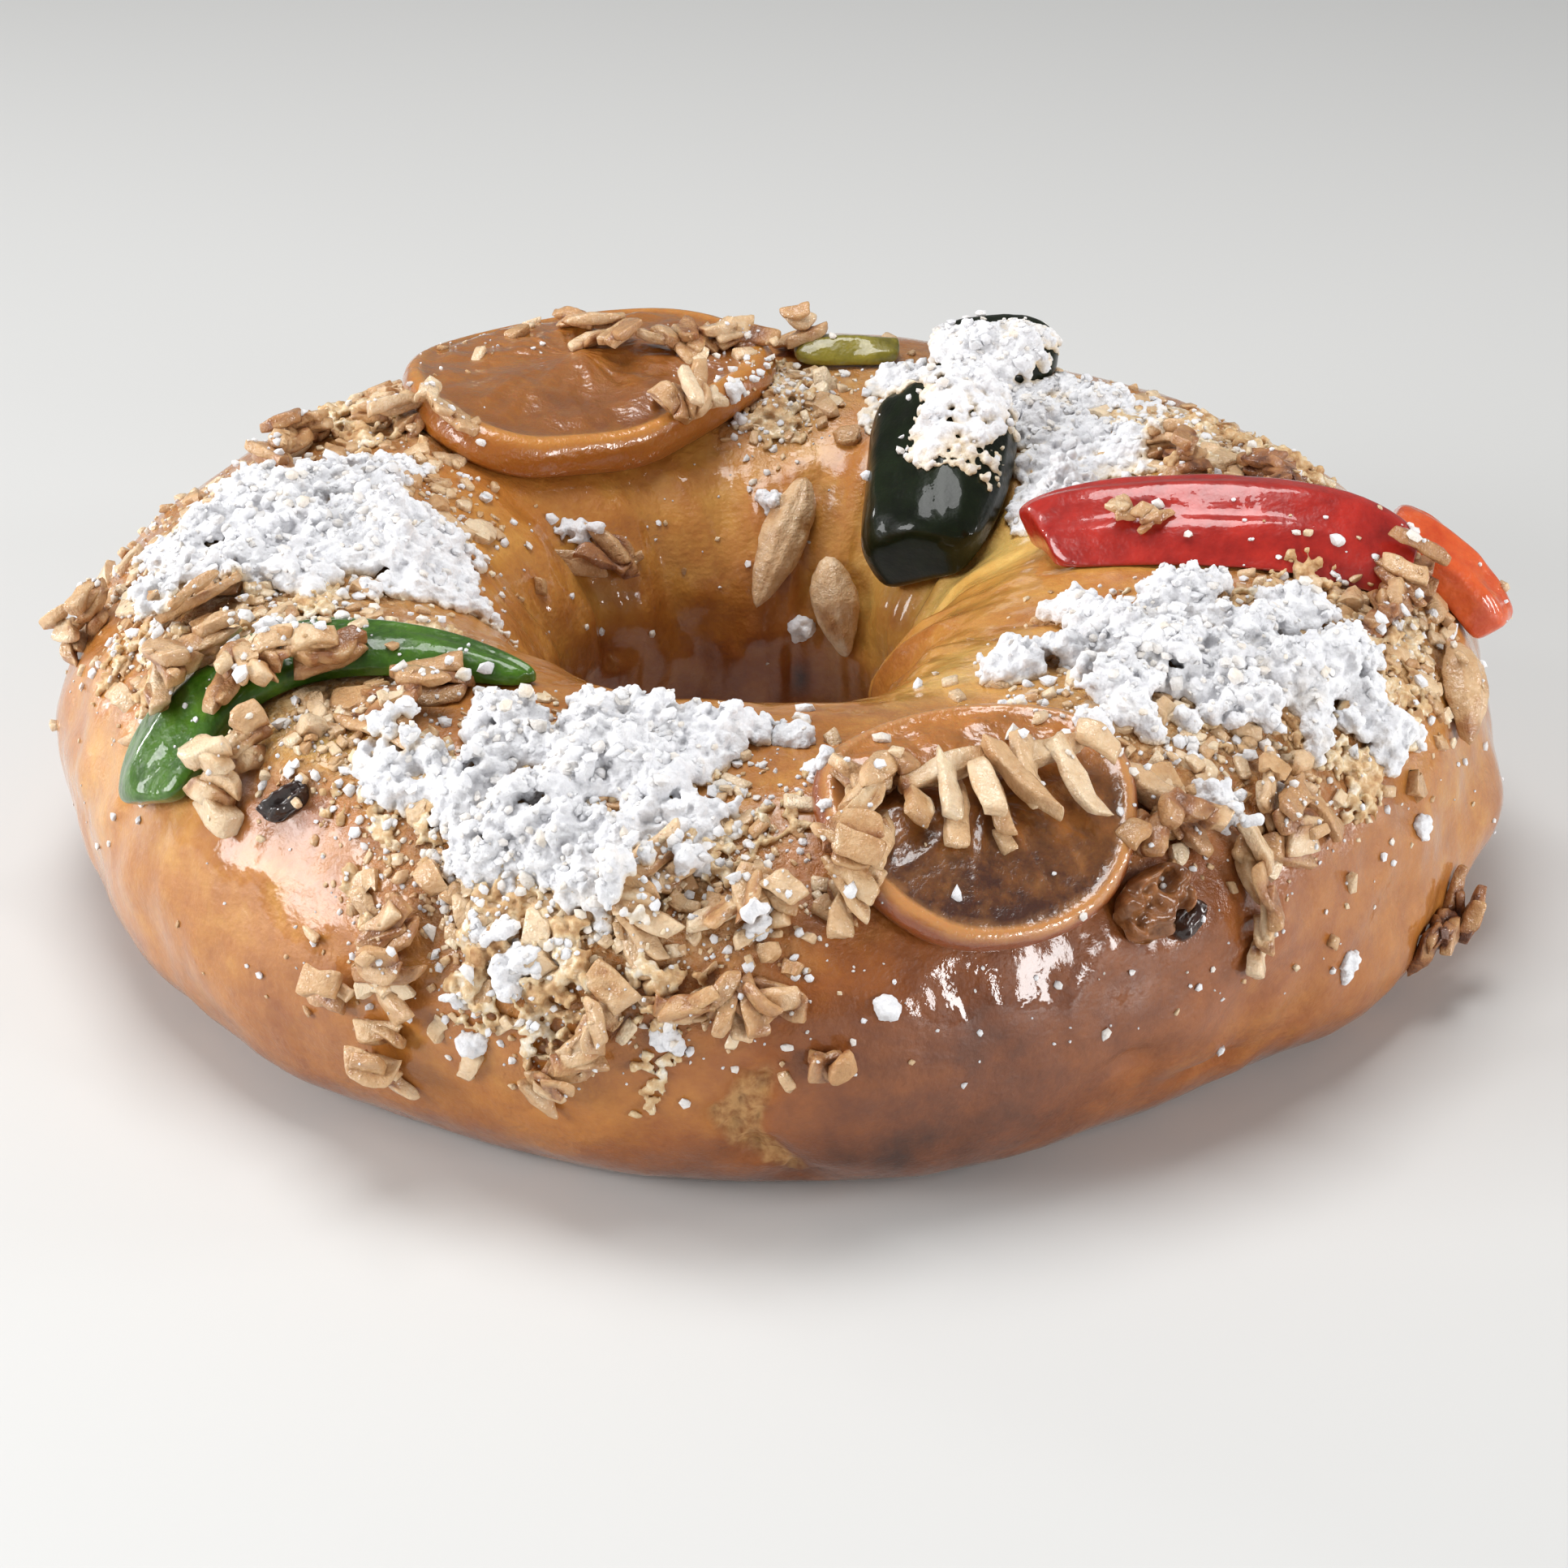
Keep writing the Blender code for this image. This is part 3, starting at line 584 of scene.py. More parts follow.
def fruit_block(
    place, length, width, thick, power=3.4, taper=(0.0, 0.0), ridge=0.0, bend=0.0, dents=0.0,
    grain=0.5, cuts=26, sink=0.0, skew=0.0, stiffness=0.0, seed=1,
):
    """A piece of fruit: a rounded block that tapers to each end, bends, and dents where it was pressed."""
    shape = rounded_block(cuts, power)
    turn_of_all = math.radians(bend)
    for vert in shape.verts:
        x, y, z = vert.co
        narrow = 1 - taper[x > 0] * x * x
        height = (z + 1) / 2 * (1 - 0.45 * abs(y - ridge) ** 2.0) * (0.5 + 0.5 * min(1.0, narrow))
        height += dents * noise.noise(Vector((x * 1.6 * grain, y * 2.2, z + seed * 5.1))) * (z + 1) / 2
        height += dents * 0.25 * noise.noise(Vector((x * 4, y * 4, z * 2 + seed * 9.7))) * (z + 1) / 2
        run, aside = x * length / 2, y * narrow * width / 2
        run -= skew * max(0.0, x) * (y + 1) / 2
        heading = turn_of_all * run / length
        along, across = run, 0.0
        if bend:
            around = length / turn_of_all
            along, across = around * math.sin(heading), around * (1 - math.cos(heading))
        vert.co = (along - aside * math.sin(heading), across + aside * math.cos(heading), height * thick)
    return wrap_on_crust(shape, place, 0.0003 - sink, stiffness)


# %% [markdown]
# Candied fruit is jelly: light goes in and comes out again. Subsurface scattering with a long red reach
# does that cheaply, and the clear coat is the syrup it was dipped in.

# %% Materials of the fruit
def candied(name, dark, light, soft=0.35, reach=(1, 0.3, 0.1), wave=0.0006, coat=1.0):
    """Syrup-coated fruit jelly, mottled between two colours."""
    fruit = Finish(name, roughness=0.35, coat=coat, coat_roughness=0.04, soft=soft, soft_reach=reach)
    fruit.set("Coat IOR", 1.42)
    fruit.set("Specular IOR Level", 0.3 * coat)
    mottle = fruit.sum((fruit.noise(0.007, 4, 0.6), 0.7), (fruit.noise(0.0018, 3, 0.6), 0.3))
    fruit.feed("Base Color", fruit.ramp(fruit.fit(mottle, 0.30, 0.70), (0.0, dark), (1.0, light)))
    fruit.bump(fruit.sum((fruit.noise(0.004, 3), 1.0), (fruit.noise(0.0012, 2), 0.25)), wave)
    fruit.bump(fruit.sum((fruit.noise(0.007, 2), 1.0), (fruit.noise(0.0022, 2), 0.15)), wave, "Coat Normal")
    return fruit


RED = candied("candied_red", (0.24, 0.008, 0.006), (0.50, 0.026, 0.015), wave=0.0004).material
AMBER = candied("candied_amber", (0.50, 0.050, 0.012), (0.74, 0.15, 0.035)).material
GREEN = candied(
    "candied_green", (0.008, 0.045, 0.002), (0.075, 0.185, 0.009), reach=(0.4, 1, 0.15), coat=0.85
).material
OLIVE = candied("candied_olive_green", (0.13, 0.11, 0.008), (0.32, 0.26, 0.03), reach=(0.8, 1, 0.2)).material
FIG = candied(
    "candied_fig", (0.002, 0.003, 0.001), (0.008, 0.014, 0.004), soft=0.05, wave=0.00025, coat=0.42
).material
RAISIN = candied("raisin_skin", (0.008, 0.004, 0.003), (0.05, 0.016, 0.009), soft=0.05, wave=0.0010).material
PLUM = candied("raisin_lump", (0.10, 0.034, 0.012), (0.40, 0.165, 0.055), soft=0.1, wave=0.0010).material

# %% Fruit blocks at their places
# piece, material, slot, CAD node, place (ring, lean, turn) and form
FRUIT = [
    ("red_fruit", RED, "candied_red", "red_strip", (350.5, 99, 88),
     dict(length=0.058, width=0.0180, thick=0.0100, power=9, taper=(0.25, 0.0), ridge=-0.45, bend=-10,
          dents=0.12, skew=0.007)),
    ("amber_fruit", AMBER, "candied_amber", "amber_wedge", (358, 40, 75),
     dict(length=0.0240, width=0.0165, thick=0.0086, power=6, taper=(0.1, 0.1), ridge=0.2,
          dents=0.12, stiffness=0.3, seed=2)),
    ("green_fruit", GREEN, "candied_green", "green_strip", (217, 74, 54),
     dict(length=0.068, width=0.0150, thick=0.0056, power=5, taper=(-0.40, 0.60), bend=-117,
          dents=0.16, cuts=34, seed=3)),
    ("fig_fruit_front", FIG, "candied_fig", "fig_front", (47.5, 144.0, 124),
     dict(length=0.034, width=0.0265, thick=0.0152, power=5.0, dents=0.12, grain=0.3,
          skew=-0.006, stiffness=1.0, seed=4)),
    ("fig_fruit_back", FIG, "candied_fig", "fig_back", (60, 91, 30),
     dict(length=0.0235, width=0.022, thick=0.0105, power=3.2, taper=(0.3, 0.3), dents=0.12,
          stiffness=0.5, seed=5)),
    ("olive_fruit", OLIVE, "candied_olive_green", "olive_strip", (81, 96, 10),
     dict(length=0.020, width=0.0095, thick=0.0045, power=3.4, dents=0.20, cuts=14, seed=6)),
    ("raisin_lump_front", PLUM, "raisin", "raisin_front", (298, 28, 20),
     dict(length=0.0130, width=0.0092, thick=0.0050, power=2.6, dents=0.9, grain=1.5, cuts=18,
          sink=0.0008, seed=7)),
    ("raisin_end_front", RAISIN, "raisin", None, (300.6, 22.5, 35),
     dict(length=0.0066, width=0.0042, thick=0.0036, power=2.6, dents=0.4, cuts=12, seed=9)),
    ("raisin_fruit_left", RAISIN, "raisin", "raisin_left", (228, 39, 50),
     dict(length=0.0085, width=0.0048, thick=0.0044, power=2.6, dents=0.5, cuts=16, sink=0.0016,
          seed=8)),
]
fruit_pieces = []
for name, material, slot, node, place, form in FRUIT:
    fruit_pieces.append(add_piece(name, fruit_block(place, **form), material, slot, *filter(None, [node])))
print("fruit blocks:", [(piece.name, triangles(piece)) for piece in fruit_pieces])

# %% [markdown]
# A candied orange slice has a rounded rind, a slightly sunken disc of flesh and thin membranes that stand a
# little proud. Its section is written as (radius, height) shares and spun. The membranes and the pulp are
# then pressed in by angle. Syrup has pooled in the lower half, so the flesh is darker there, and the pith
# inside the rind is pale.

# %% The orange slices
RIND_SECTION = (
    (0.0, 0.0), (0.50, 0.0), (0.94, 0.0), (0.985, 0.05), (1.0, 0.20), (0.997, 0.42), (0.985, 0.62),
    (0.965, 0.78), (0.945, 0.90), (0.92, 0.97), (0.90, 1.0), (0.88, 0.99), (0.865, 0.94), (0.85, 0.88),
)
FLESH_STEPS, FLESH_EDGE, FLESH_HEIGHT = 18, 0.85, 0.84


def orange_slice(place, long_radius, cross_radius, thick, low_lift, low_side, segments, ribs, seed):
    """A slice wrapped on the crust, with how far each point is rind and how far up the slice it lies."""
    flesh = [(FLESH_EDGE * (1 - step / FLESH_STEPS), FLESH_HEIGHT) for step in range(1, FLESH_STEPS + 1)]
    section = list(RIND_SECTION) + flesh
    shape = lathe(section, 140)
    rind, depth = [], []
    for vert in shape.verts:
        x, y, z = vert.co
        from_middle, angle = math.hypot(x, y), math.atan2(y, x)
        rind.append(min(1.0, max(0.0, (from_middle - FLESH_EDGE + 0.01) / (1 - FLESH_EDGE))))
        depth.append(0.5 + 0.5 * y)
        if z > 0.6 and from_middle < FLESH_EDGE:
            wobble = angle + 0.10 * noise.noise(Vector((3 * x, 3 * y, seed)))
            membrane = math.exp(-((math.sin(segments * wobble / 2) * (0.25 + 3.4 * from_middle)) ** 2) * 3)
            pulp = noise.noise(Vector((angle * 9, from_middle * 3, seed + 2))) * min(1.0, 3 * from_middle)
            inside = min(1.0, (FLESH_EDGE - from_middle) * 8)
            z += (ribs * membrane * min(1, 3 * from_middle) + 0.05 * pulp) * inside
            z += 0.24 * noise.noise(Vector((3.5 * x, 3.5 * y, seed + 8))) * inside
            z += 0.08 * noise.noise(Vector((11 * x, 11 * y, seed + 9))) * inside
        wobble = 1 + 0.025 * math.sin(2 * angle + 1) + 0.012 * math.sin(5 * angle)
        wobble += 0.02 * noise.noise(Vector((math.cos(angle) * 2, math.sin(angle) * 2, seed + 4)))
        high = thick + low_lift * max(0.0, y * low_side) ** 2
        high *= 1 + 0.10 * noise.noise(Vector((1.5 * x, 1.5 * y, seed + 6)))
        vert.co = (x * long_radius * wobble, y * cross_radius * wobble, z * high)
    return wrap_on_crust(shape, place), rind, depth


def orange_finish(name, flesh_low, flesh_high, pith, skin_colour):
    """Flesh, then a pale band of pith, then the skin, under one clear coat."""
    orange = Finish(
        name, roughness=0.3, coat=1.0, coat_roughness=0.03, soft=0.35, soft_reach=(1, 0.35, 0.08)
    )
    orange.set("Coat IOR", 1.42)
    pulp = orange.sum(
        (orange.attribute("depth"), 1.0), (orange.noise(0.007, 4, 0.6), 0.9),
        (orange.noise(0.0015, 3, 0.7), 0.35),
    )
    flesh = orange.blend(orange.fit(pulp, 0.75, 1.65), flesh_low, flesh_high)
    band = orange.sum((orange.attribute("rind"), 1.0), (orange.noise(0.004, 3), 0.30))
    rind_colour = orange.ramp(
        orange.fit(band, 0.15, 1.15), (0.20, pith), (0.55, pith), (0.85, skin_colour)
    )
    orange.feed("Base Color", orange.blend(orange.fit(band, 0.16, 0.44), flesh, rind_colour))
    orange.bump(orange.sum((orange.noise(0.003, 4, 0.6), 1.0)), 0.0005)
    waves = orange.sum((orange.noise(0.006, 3), 1.0), (orange.noise(0.0018, 2), 0.20))
    orange.bump(waves, 0.0008, "Coat Normal")
    return orange.material


# piece, CAD node, form, then the flesh's two colours, the pith and the skin
ORANGES = (
    ("orange_fruit_back", "orange_slice_back",
     ((122, 98, 4), 0.0375, 0.0270, 0.0058, 0.0034, 1, 9, 0.01, 3),
     ((0.40, 0.145, 0.022), (0.20, 0.062, 0.013), (0.50, 0.21, 0.040), (0.36, 0.115, 0.013))),
    ("orange_fruit_front", "orange_slice_front",
     ((286.6, 56.4, 0), 0.0242, 0.0211, 0.0040, 0.0016, -1, 10, 0.09, 8),
     ((0.058, 0.017, 0.008), (0.54, 0.20, 0.034), (0.50, 0.23, 0.075), (0.24, 0.060, 0.014))),
)
for name, node, form, colours in ORANGES:
    shape, rind, depth = orange_slice(*form)
    piece = add_piece(name, shape, orange_finish(name + "_jelly", *colours), "candied_orange", node)
    paint_attribute(piece, "rind", rind)
    paint_attribute(piece, "depth", depth)
    fruit_pieces.append(piece)
    print(name, triangles(piece), "triangles")

# %% [markdown]
# ## Almonds
#
# Chopped almonds are angular: flat cut faces, blunt ends, edges just broken. A flake is a cube that is cut
# along its length, bent, made crooked and bevelled. One level of subdivision then softens it as the caramel
# does. Flakes are stacked, each seated on what is under it. Points where two of them meet are darker:
# painted shade in the joints, together with the caramel that gathers there.

# %% The toasted almond finish
almond = Finish(
    "toasted_almond", roughness=0.5, coat=0.8, coat_roughness=0.07, soft=0.12, soft_reach=(1, 0.6, 0.3)
)
toasted_and_shaded = almond.sum(
    (almond.attribute("toast_and_shade"), 1.0), (almond.noise(0.0030, 3), 0.40), (almond.noise(0.0008, 3), 0.25)
)
almond.feed("Base Color", almond.ramp(
    almond.fit(toasted_and_shaded, 0.24, 1.24), (0.0, (0.80, 0.63, 0.43)), (0.25, (0.66, 0.44, 0.245)),
    (0.48, (0.50, 0.275, 0.115)), (0.74, (0.31, 0.120, 0.036)), (1.0, (0.12, 0.036, 0.012)),
))
almond.feed("Coat Weight", almond.fit(almond.noise(0.006, 3), 0.38, 0.56, 0.25, 1.0))
almond.bump(almond.sum((almond.noise(0.0014, 4, 0.6), 1.0), (almond.noise(0.0004, 2), 0.25)), 0.0006)
caramel_waves = almond.sum((almond.noise(0.0016, 3), 1.0), (almond.noise(0.0006, 2), 0.20))
almond.bump(caramel_waves, 0.0006, "Coat Normal")
ALMOND = almond.material


def put_copy(shape, template, matrix):
    """Adds a placed copy of a small mesh to a bmesh."""
    template.transform(matrix)
    shape.from_mesh(template)
    template.transform(matrix.inverted())


SHARP_FLAKE_EDGE = 0.7


def chopped_flake(draw, long=1.0, wide=1.0, thick=1.0, broken=0.08):
    """A flake of almond: bent, tapered, crooked at its ends, with its sharp edges broken."""
    shape = bmesh.new()
    bmesh.ops.create_cube(shape, size=1)
    long_edges = [edge for edge in shape.edges if abs(edge.verts[0].co.x - edge.verts[1].co.x) > 0.5]
    bmesh.ops.subdivide_edges(shape, edges=long_edges, cuts=3)
    arch, sweep = draw.uniform(-0.3, 0.5), draw.uniform(-0.22, 0.22)
    taper = (draw.choice((0.05, 0.15, 0.3, 0.8)), draw.choice((0.0, 0.1, 0.25, 0.45)))
    slant = (draw.uniform(-0.13, 0.13), draw.uniform(-0.13, 0.13))
    for vert in shape.verts:
        x, y, z = vert.co
        narrow = 1 - taper[x > 0] * (2 * x) ** 2
        crooked = slant[x > 0] * 4 * x * x * 2 * y + draw.uniform(-0.05, 0.05)
        y = y * narrow + sweep * (1 - 4 * x * x) + draw.uniform(-0.14, 0.14)
        z = z * (0.55 + 0.45 * narrow) + arch * (1 - 4 * x * x) + draw.uniform(-0.20, 0.20)
        vert.co = ((x + crooked) * long, y * wide, z * thick)
    sharp = [edge for edge in shape.edges if edge.calc_face_angle(0.0) > SHARP_FLAKE_EDGE]
    bmesh.ops.bevel(
        shape, geom=sharp, offset=broken, offset_type="OFFSET", segments=1, profile=0.5,
        affect="EDGES", material=-1, clamp_overlap=True,
    )
    mesh = bpy.data.meshes.new("chopped_flake")
    shape.to_mesh(mesh)
    shape.free()
    return mesh


def frame_matrix(middle, axis, up, sizes):
    """Places a unit shape: its X along axis, its Z near up, and its sizes along X, Y and Z."""
    axis = axis.normalized()
    side = up.cross(axis).normalized()
    turned = Matrix((axis, side, axis.cross(side))).transposed().to_4x4()
    return Matrix.Translation(middle) @ turned @ Matrix.Diagonal((*sizes, 1))


# %% What lies under a topping
def surface_under(pieces):
    """One search tree over several finished pieces."""
    shape = bmesh.new()
    for piece in pieces:
        shape.from_mesh(piece.data)
    tree = BVHTree.FromBMesh(shape)
    shape.free()
    return tree


def height_over_crust(tree, point, outward, most=0.05):
    """How high the surface in the tree stands over a point of the plain crust."""
    start = Vector(point) + Vector(outward) * most
    hit, _, _, distance = tree.ray_cast(start, -Vector(outward), most + 0.004)
    return most - distance if hit else 0.0


def heights_over_crust(tree, points, outwards):
    """The same for many points."""
    return np.array([height_over_crust(tree, point, out) for point, out in zip(points, outwards)])


fruit_and_crust = surface_under([loaf] + fruit_pieces)

# %% [markdown]
# Each knot is described by where it is, how long its flakes are, which way they point, how far they fan
# out, and how long a row they stand in. A row with little fan is a comb of fingers, as on the front orange
# slice. No row and a wide fan is a star.

# %% The almond knots
# node: ring, lean, flake length and thickness, flakes, heading, fan, row length, row heading, toasting, seed
KNOTS = {
    "almonds_over_orange_left": (283, 55, 0.0125, 0.0025, 5, 264, 18, 0.0105, 14, 0.14, 11),
    "almonds_over_orange_right": (292, 57, 0.0130, 0.0025, 6, 284, 34, 0.0150, 6, 0.12, 12),
    "almonds_beside_orange_left": (278, 62, 0.0080, 0.0020, 8, 200, 80, 0.004, 0, 0.26, 13),
    "almonds_under_orange": (275, 46, 0.0090, 0.0016, 16, 170, 85, 0.008, 80, 0.28, 14),
    "almonds_right_of_orange": (301, 43, 0.0090, 0.0022, 10, 255, 70, 0.006, 0, 0.24, 15),
    "almonds_front_right": (307, 22, 0.0085, 0.0020, 8, 266, 24, 0.009, 86, 0.20, 16),
    "almonds_front_upper": (268, 37, 0.0080, 0.0015, 9, 262, 60, 0.005, 10, 0.16, 17),
    "almonds_front_middle": (260, 38, 0.0110, 0.0018, 9, 172, 40, 0.007, 80, 0.22, 18),
    "almonds_front_low": (266, 18, 0.0080, 0.0012, 18, 258, 100, 0.009, 5, 0.34, 19),
    "almonds_front_left": (256, 6, 0.0075, 0.0012, 18, 215, 100, 0.011, 60, 0.28, 20),
    "almonds_left_flank": (241, 17, 0.0120, 0.0018, 9, 18, 34, 0.006, 90, 0.26, 21),
    "almonds_on_green_outer": (212, 50, 0.0090, 0.0028, 9, 200, 70, 0.006, 90, 0.16, 22),
    "almonds_on_green_crest": (219, 61, 0.0110, 0.0026, 13, 190, 80, 0.010, 60, 0.24, 23),
    "almonds_by_green_foot": (222, 40, 0.0085, 0.0026, 9, 215, 50, 0.007, 90, 0.16, 24),
    "almonds_left_crest": (231, 73, 0.0155, 0.0024, 8, 22, 24, 0.008, 90, 0.34, 25),
    "almonds_left_edge": (187, 30, 0.0085, 0.0022, 10, 240, 75, 0.005, 90, 0.22, 26),
    "almonds_left_flake": (199, 61, 0.0140, 0.0022, 5, 260, 25, 0.006, 0, 0.18, 27),
    "almonds_back_left": (162, 72, 0.0095, 0.0020, 13, 170, 80, 0.008, 0, 0.30, 28),
    "almonds_beside_orange_back": (152, 95, 0.0100, 0.0018, 11, 175, 70, 0.009, 90, 0.24, 29),
    "almonds_over_orange_back": (103, 106, 0.0090, 0.0018, 14, 240, 85, 0.009, 0, 0.24, 30),
    "almonds_orange_back_near": (111, 132, 0.0100, 0.0020, 8, 250, 50, 0.005, 0, 0.16, 31),
    "almonds_behind_orange": (117, 94, 0.0120, 0.0017, 10, 170, 50, 0.010, 90, 0.24, 32),
    "almonds_behind_olive": (88, 94, 0.0100, 0.0020, 6, 160, 35, 0.004, 90, 0.26, 37),
    "almonds_by_red_end": (345, 55, 0.0100, 0.0022, 14, 220, 80, 0.010, 0, 0.46, 33),
    "almonds_right_crest": (8, 80, 0.0095, 0.0020, 13, 180, 80, 0.009, 0, 0.50, 34),
    "almonds_right_flank": (312, 36, 0.0105, 0.0020, 8, 190, 40, 0.006, 90, 0.24, 35),
    "almonds_back_right": (18, 100, 0.0090, 0.0020, 11, 170, 80, 0.007, 0, 0.40, 36),
    "almonds_hole_wall": (144, 156, 0.0110, 0.0018, 6, 120, 34, 0.004, 0, 0.50, 38),
    "almonds_foot_left": (241, -6, 0.0085, 0.0020, 7, 175, 30, 0.005, 90, 0.24, 39),
    "almonds_foot_right": (333, -18, 0.0090, 0.0020, 12, 180, 85, 0.007, 0, 0.54, 40),
}


def knot_slivers(
    name, ring, lean, length, thickness, count, heading, fan, row, row_heading, toasting, seed
):
    """The flakes of a knot, stacked on whatever is under them: their sizes, places and toasting."""
    draw = random.Random(seed)
    here, along, climb, outward = (Vector(part) for part in crust_frame(ring, lean))
    step = towards(along, climb, row_heading)
    slivers = []
    for index in range(count):
        share = index / max(1, count - 1) - 0.5
        axis = towards(along, climb, heading + 2 * fan * share + draw.uniform(-14, 14))
        long = length * draw.uniform(0.55, 1.15)
        middle = here + step * row * 2 * share + axis * draw.uniform(-0.2, 0.2) * length
        seat = height_over_crust(fruit_and_crust, middle, outward)
        thick = thickness * draw.uniform(0.75, 1.3)
        storey = (0.0004 + 0.45 * thickness) * (index % 5) * draw.uniform(0.5, 1.1)
        middle += outward * (seat + thick * 0.45 + storey)
        axis += outward * draw.uniform(-0.14, 0.34)
        up = outward + axis.cross(outward) * draw.uniform(-0.9, 0.9)
        wide = draw.uniform(0.0027, 0.0046)
        toast_and_shade = toasting + draw.uniform(-0.20, 0.26)
        slivers.append(((long, wide, thick), frame_matrix(middle, axis, up, (1, 1, 1)), toast_and_shade))
    if "over_orange_" in name and "back" not in name:
        # a comb of fingers hangs from one sliver that lies across their roots
        middle = here - towards(along, climb, heading) * 0.36 * length
        seat = height_over_crust(fruit_and_crust, middle, outward)
        bar = frame_matrix(middle + outward * (seat + 0.0022), step, outward, (1, 1, 1))
        slivers.append(((row + 0.004, 0.0036, 0.0030), bar, toasting))
    return slivers


BROKEN_EDGE = 0.00028


def make_knot(name, slivers, *nodes):
    """Stacks a knot's flakes. Each has its own toasting, and painted shade with caramel darkens where they
    meet.
    """
    draw = random.Random(len(slivers) * 31 + len(name))
    shape = bmesh.new()
    for sizes, matrix, _ in slivers:
        put_copy(shape, chopped_flake(draw, *sizes, broken=BROKEN_EDGE), matrix)
    piece = add_piece(name.replace("almonds", "almond_knot"), shape, ALMOND, "almond", *nodes)
    soften = piece.modifiers.new("soften", "SUBSURF")
    soften.levels = soften.render_levels = 1
    settle_mesh(piece)
    roughen(piece, (0.00030, 0.0024), (0.00016, 0.0009))
    places = places_of(piece.data)
    away = []
    for sizes, matrix, _ in slivers:
        local = (places - np.array(matrix.translation)) @ np.array(matrix.to_3x3())
        away.append(np.abs(local / sizes).max(axis=1))
    away = np.array(away)
    toast_and_shade = np.array([browned for _, _, browned in slivers])[away.argmin(axis=0)]
    second = np.sort(away, axis=0)[1] if len(slivers) > 1 else away[0] + 1
    # painted shade, with caramel: points close to a second flake are darker
    toast_and_shade += 0.30 * np.clip((0.76 - second) / 0.26, 0, 1)
    paint_attribute(piece, "toast_and_shade", toast_and_shade)
    return piece


# groups of flakes that are too small to be solids of their own
LOOSE_FLAKES = {
    "loose_flake_front": (273, 6, 0.0062, 0.0018, 3, 180, 40, 0.0015, 0, 0.20, 51),
    "loose_flake_left": (237, 6, 0.0085, 0.0020, 3, 175, 14, 0.002, 90, 0.22, 52),
    "loose_flake_right": (316, 38, 0.0090, 0.0020, 3, 150, 40, 0.004, 90, 0.26, 53),
    "loose_flake_crest": (178, 100, 0.0120, 0.0020, 2, 200, 12, 0.002, 90, 0.62, 54),
    "loose_flake_red": (347, 118, 0.0052, 0.0013, 5, 60, 90, 0.0035, 90, 0.26, 55),
}
knots = [make_knot(node, knot_slivers(node, *form), node) for node, form in KNOTS.items()]
knots += [make_knot(name, knot_slivers(name, *form)) for name, form in LOOSE_FLAKES.items()]
print(len(knots), "knots of", sum(map(triangles, knots)), "triangles")

# %% [markdown]
# A skinned almond half is a pointed drop, flat below. It is spun like the orange slice, along its own
# length, then squashed and laid on the crust.

# %% Almond halves
# node: ring, lean, heading, length, width, thickness and toasting
HALVES = {
    "almond_half_hole_long": (91, 161, 68, 0.026, 0.0085, 0.0050, 0.20),
    "almond_half_hole_short": (71, 173, 105, 0.019, 0.0088, 0.0048, 0.16),
    "almond_half_right": (343, 28, 220, 0.019, 0.0092, 0.0062, 0.26),
}
DROP_STEPS = 30


def almond_half(ring, lean, heading, length, width, thick):
    """A drop spun along its length, flattened and laid at its place."""
    steps = [step / DROP_STEPS for step in range(DROP_STEPS + 1)]
    section = [(math.sin(math.pi * s ** 0.82) ** 0.72 if 0 < s < 1 else 0.0, s * 2 - 1) for s in steps]
    shape = lathe(section, 36)
    here, along, climb, outward = (Vector(part) for part in crust_frame(ring, lean))
    axis = towards(along, climb, heading)
    side = outward.cross(axis)
    seat = height_over_crust(fruit_and_crust, here, outward)
    for vert in shape.verts:
        across, up, run = vert.co
        groove = 1 - 0.06 * math.sin(9 * math.atan2(up, across))
        rise = max(up, -0.25) * 0.70 * groove
        place = here + outward * (seat + thick * (0.25 + rise))
        vert.co = place + axis * run * length / 2 + side * across * width / 2
    bmesh.ops.recalc_face_normals(shape, faces=shape.faces)
    return shape


halves = []
for node, (*form, toasting) in HALVES.items():
    piece = add_piece(node.replace("almond_half", "almond_split"), almond_half(*form), ALMOND, "almond", node)
    roughen(piece, (0.0005, 0.004), (0.0002, 0.0014))
    places = places_of(piece.data)
    toast_and_shade = toasting + 0.5 * np.clip(ripple(places, 0.006, 9) * 2 - 0.2, 0, 1)
    paint_attribute(piece, "toast_and_shade", toast_and_shade + 0.12 * ripple(places, 0.0018, 4))
    halves.append(piece)
print("almond halves:", [triangles(piece) for piece in halves])

# %% [markdown]
# ## Sugar
#
# Moistened sugar falls in clumps and lies like fresh snow over whatever is there. Each heap is many
# overlapping balls, whose tops follow the heap's own height: high in the middle, ragged at the edge, bare
# where the clumping noise is low. A ray down to the toppings finds what each ball lies on. Voxel remeshing
# makes one crumbly skin. Where the sugar touches the syrup it has turned damp and cream-coloured, and an
# attribute carries that.

# %% The sugar finish
sugar = Finish("clumped_sugar", roughness=0.9, soft=0.45, soft_reach=(1, 0.98, 0.95))
sugar.set("Subsurface Scale", 0.0009)
sugar.set("Specular IOR Level", 0.25)
dry = sugar.ramp(sugar.noise(0.003, 4), (0.3, (0.71, 0.71, 0.735)), (0.7, (0.84, 0.84, 0.855)))
dampness = sugar.sum(
    (sugar.attribute("damp"), 1.0), (sugar.noise(0.0035, 3), 0.6), (sugar.noise(0.011, 3), 0.9)
)
sugar.feed("Base Color", sugar.blend(sugar.fit(dampness, 0.86, 1.65, 0.0, 0.9), dry, (0.78, 0.62, 0.40)))
sugar.bump(sugar.sum((sugar.noise(0.0010, 4, 0.65), 1.0), (sugar.cells(0.0006), -0.4)), 0.0004)
SUGAR = sugar.material

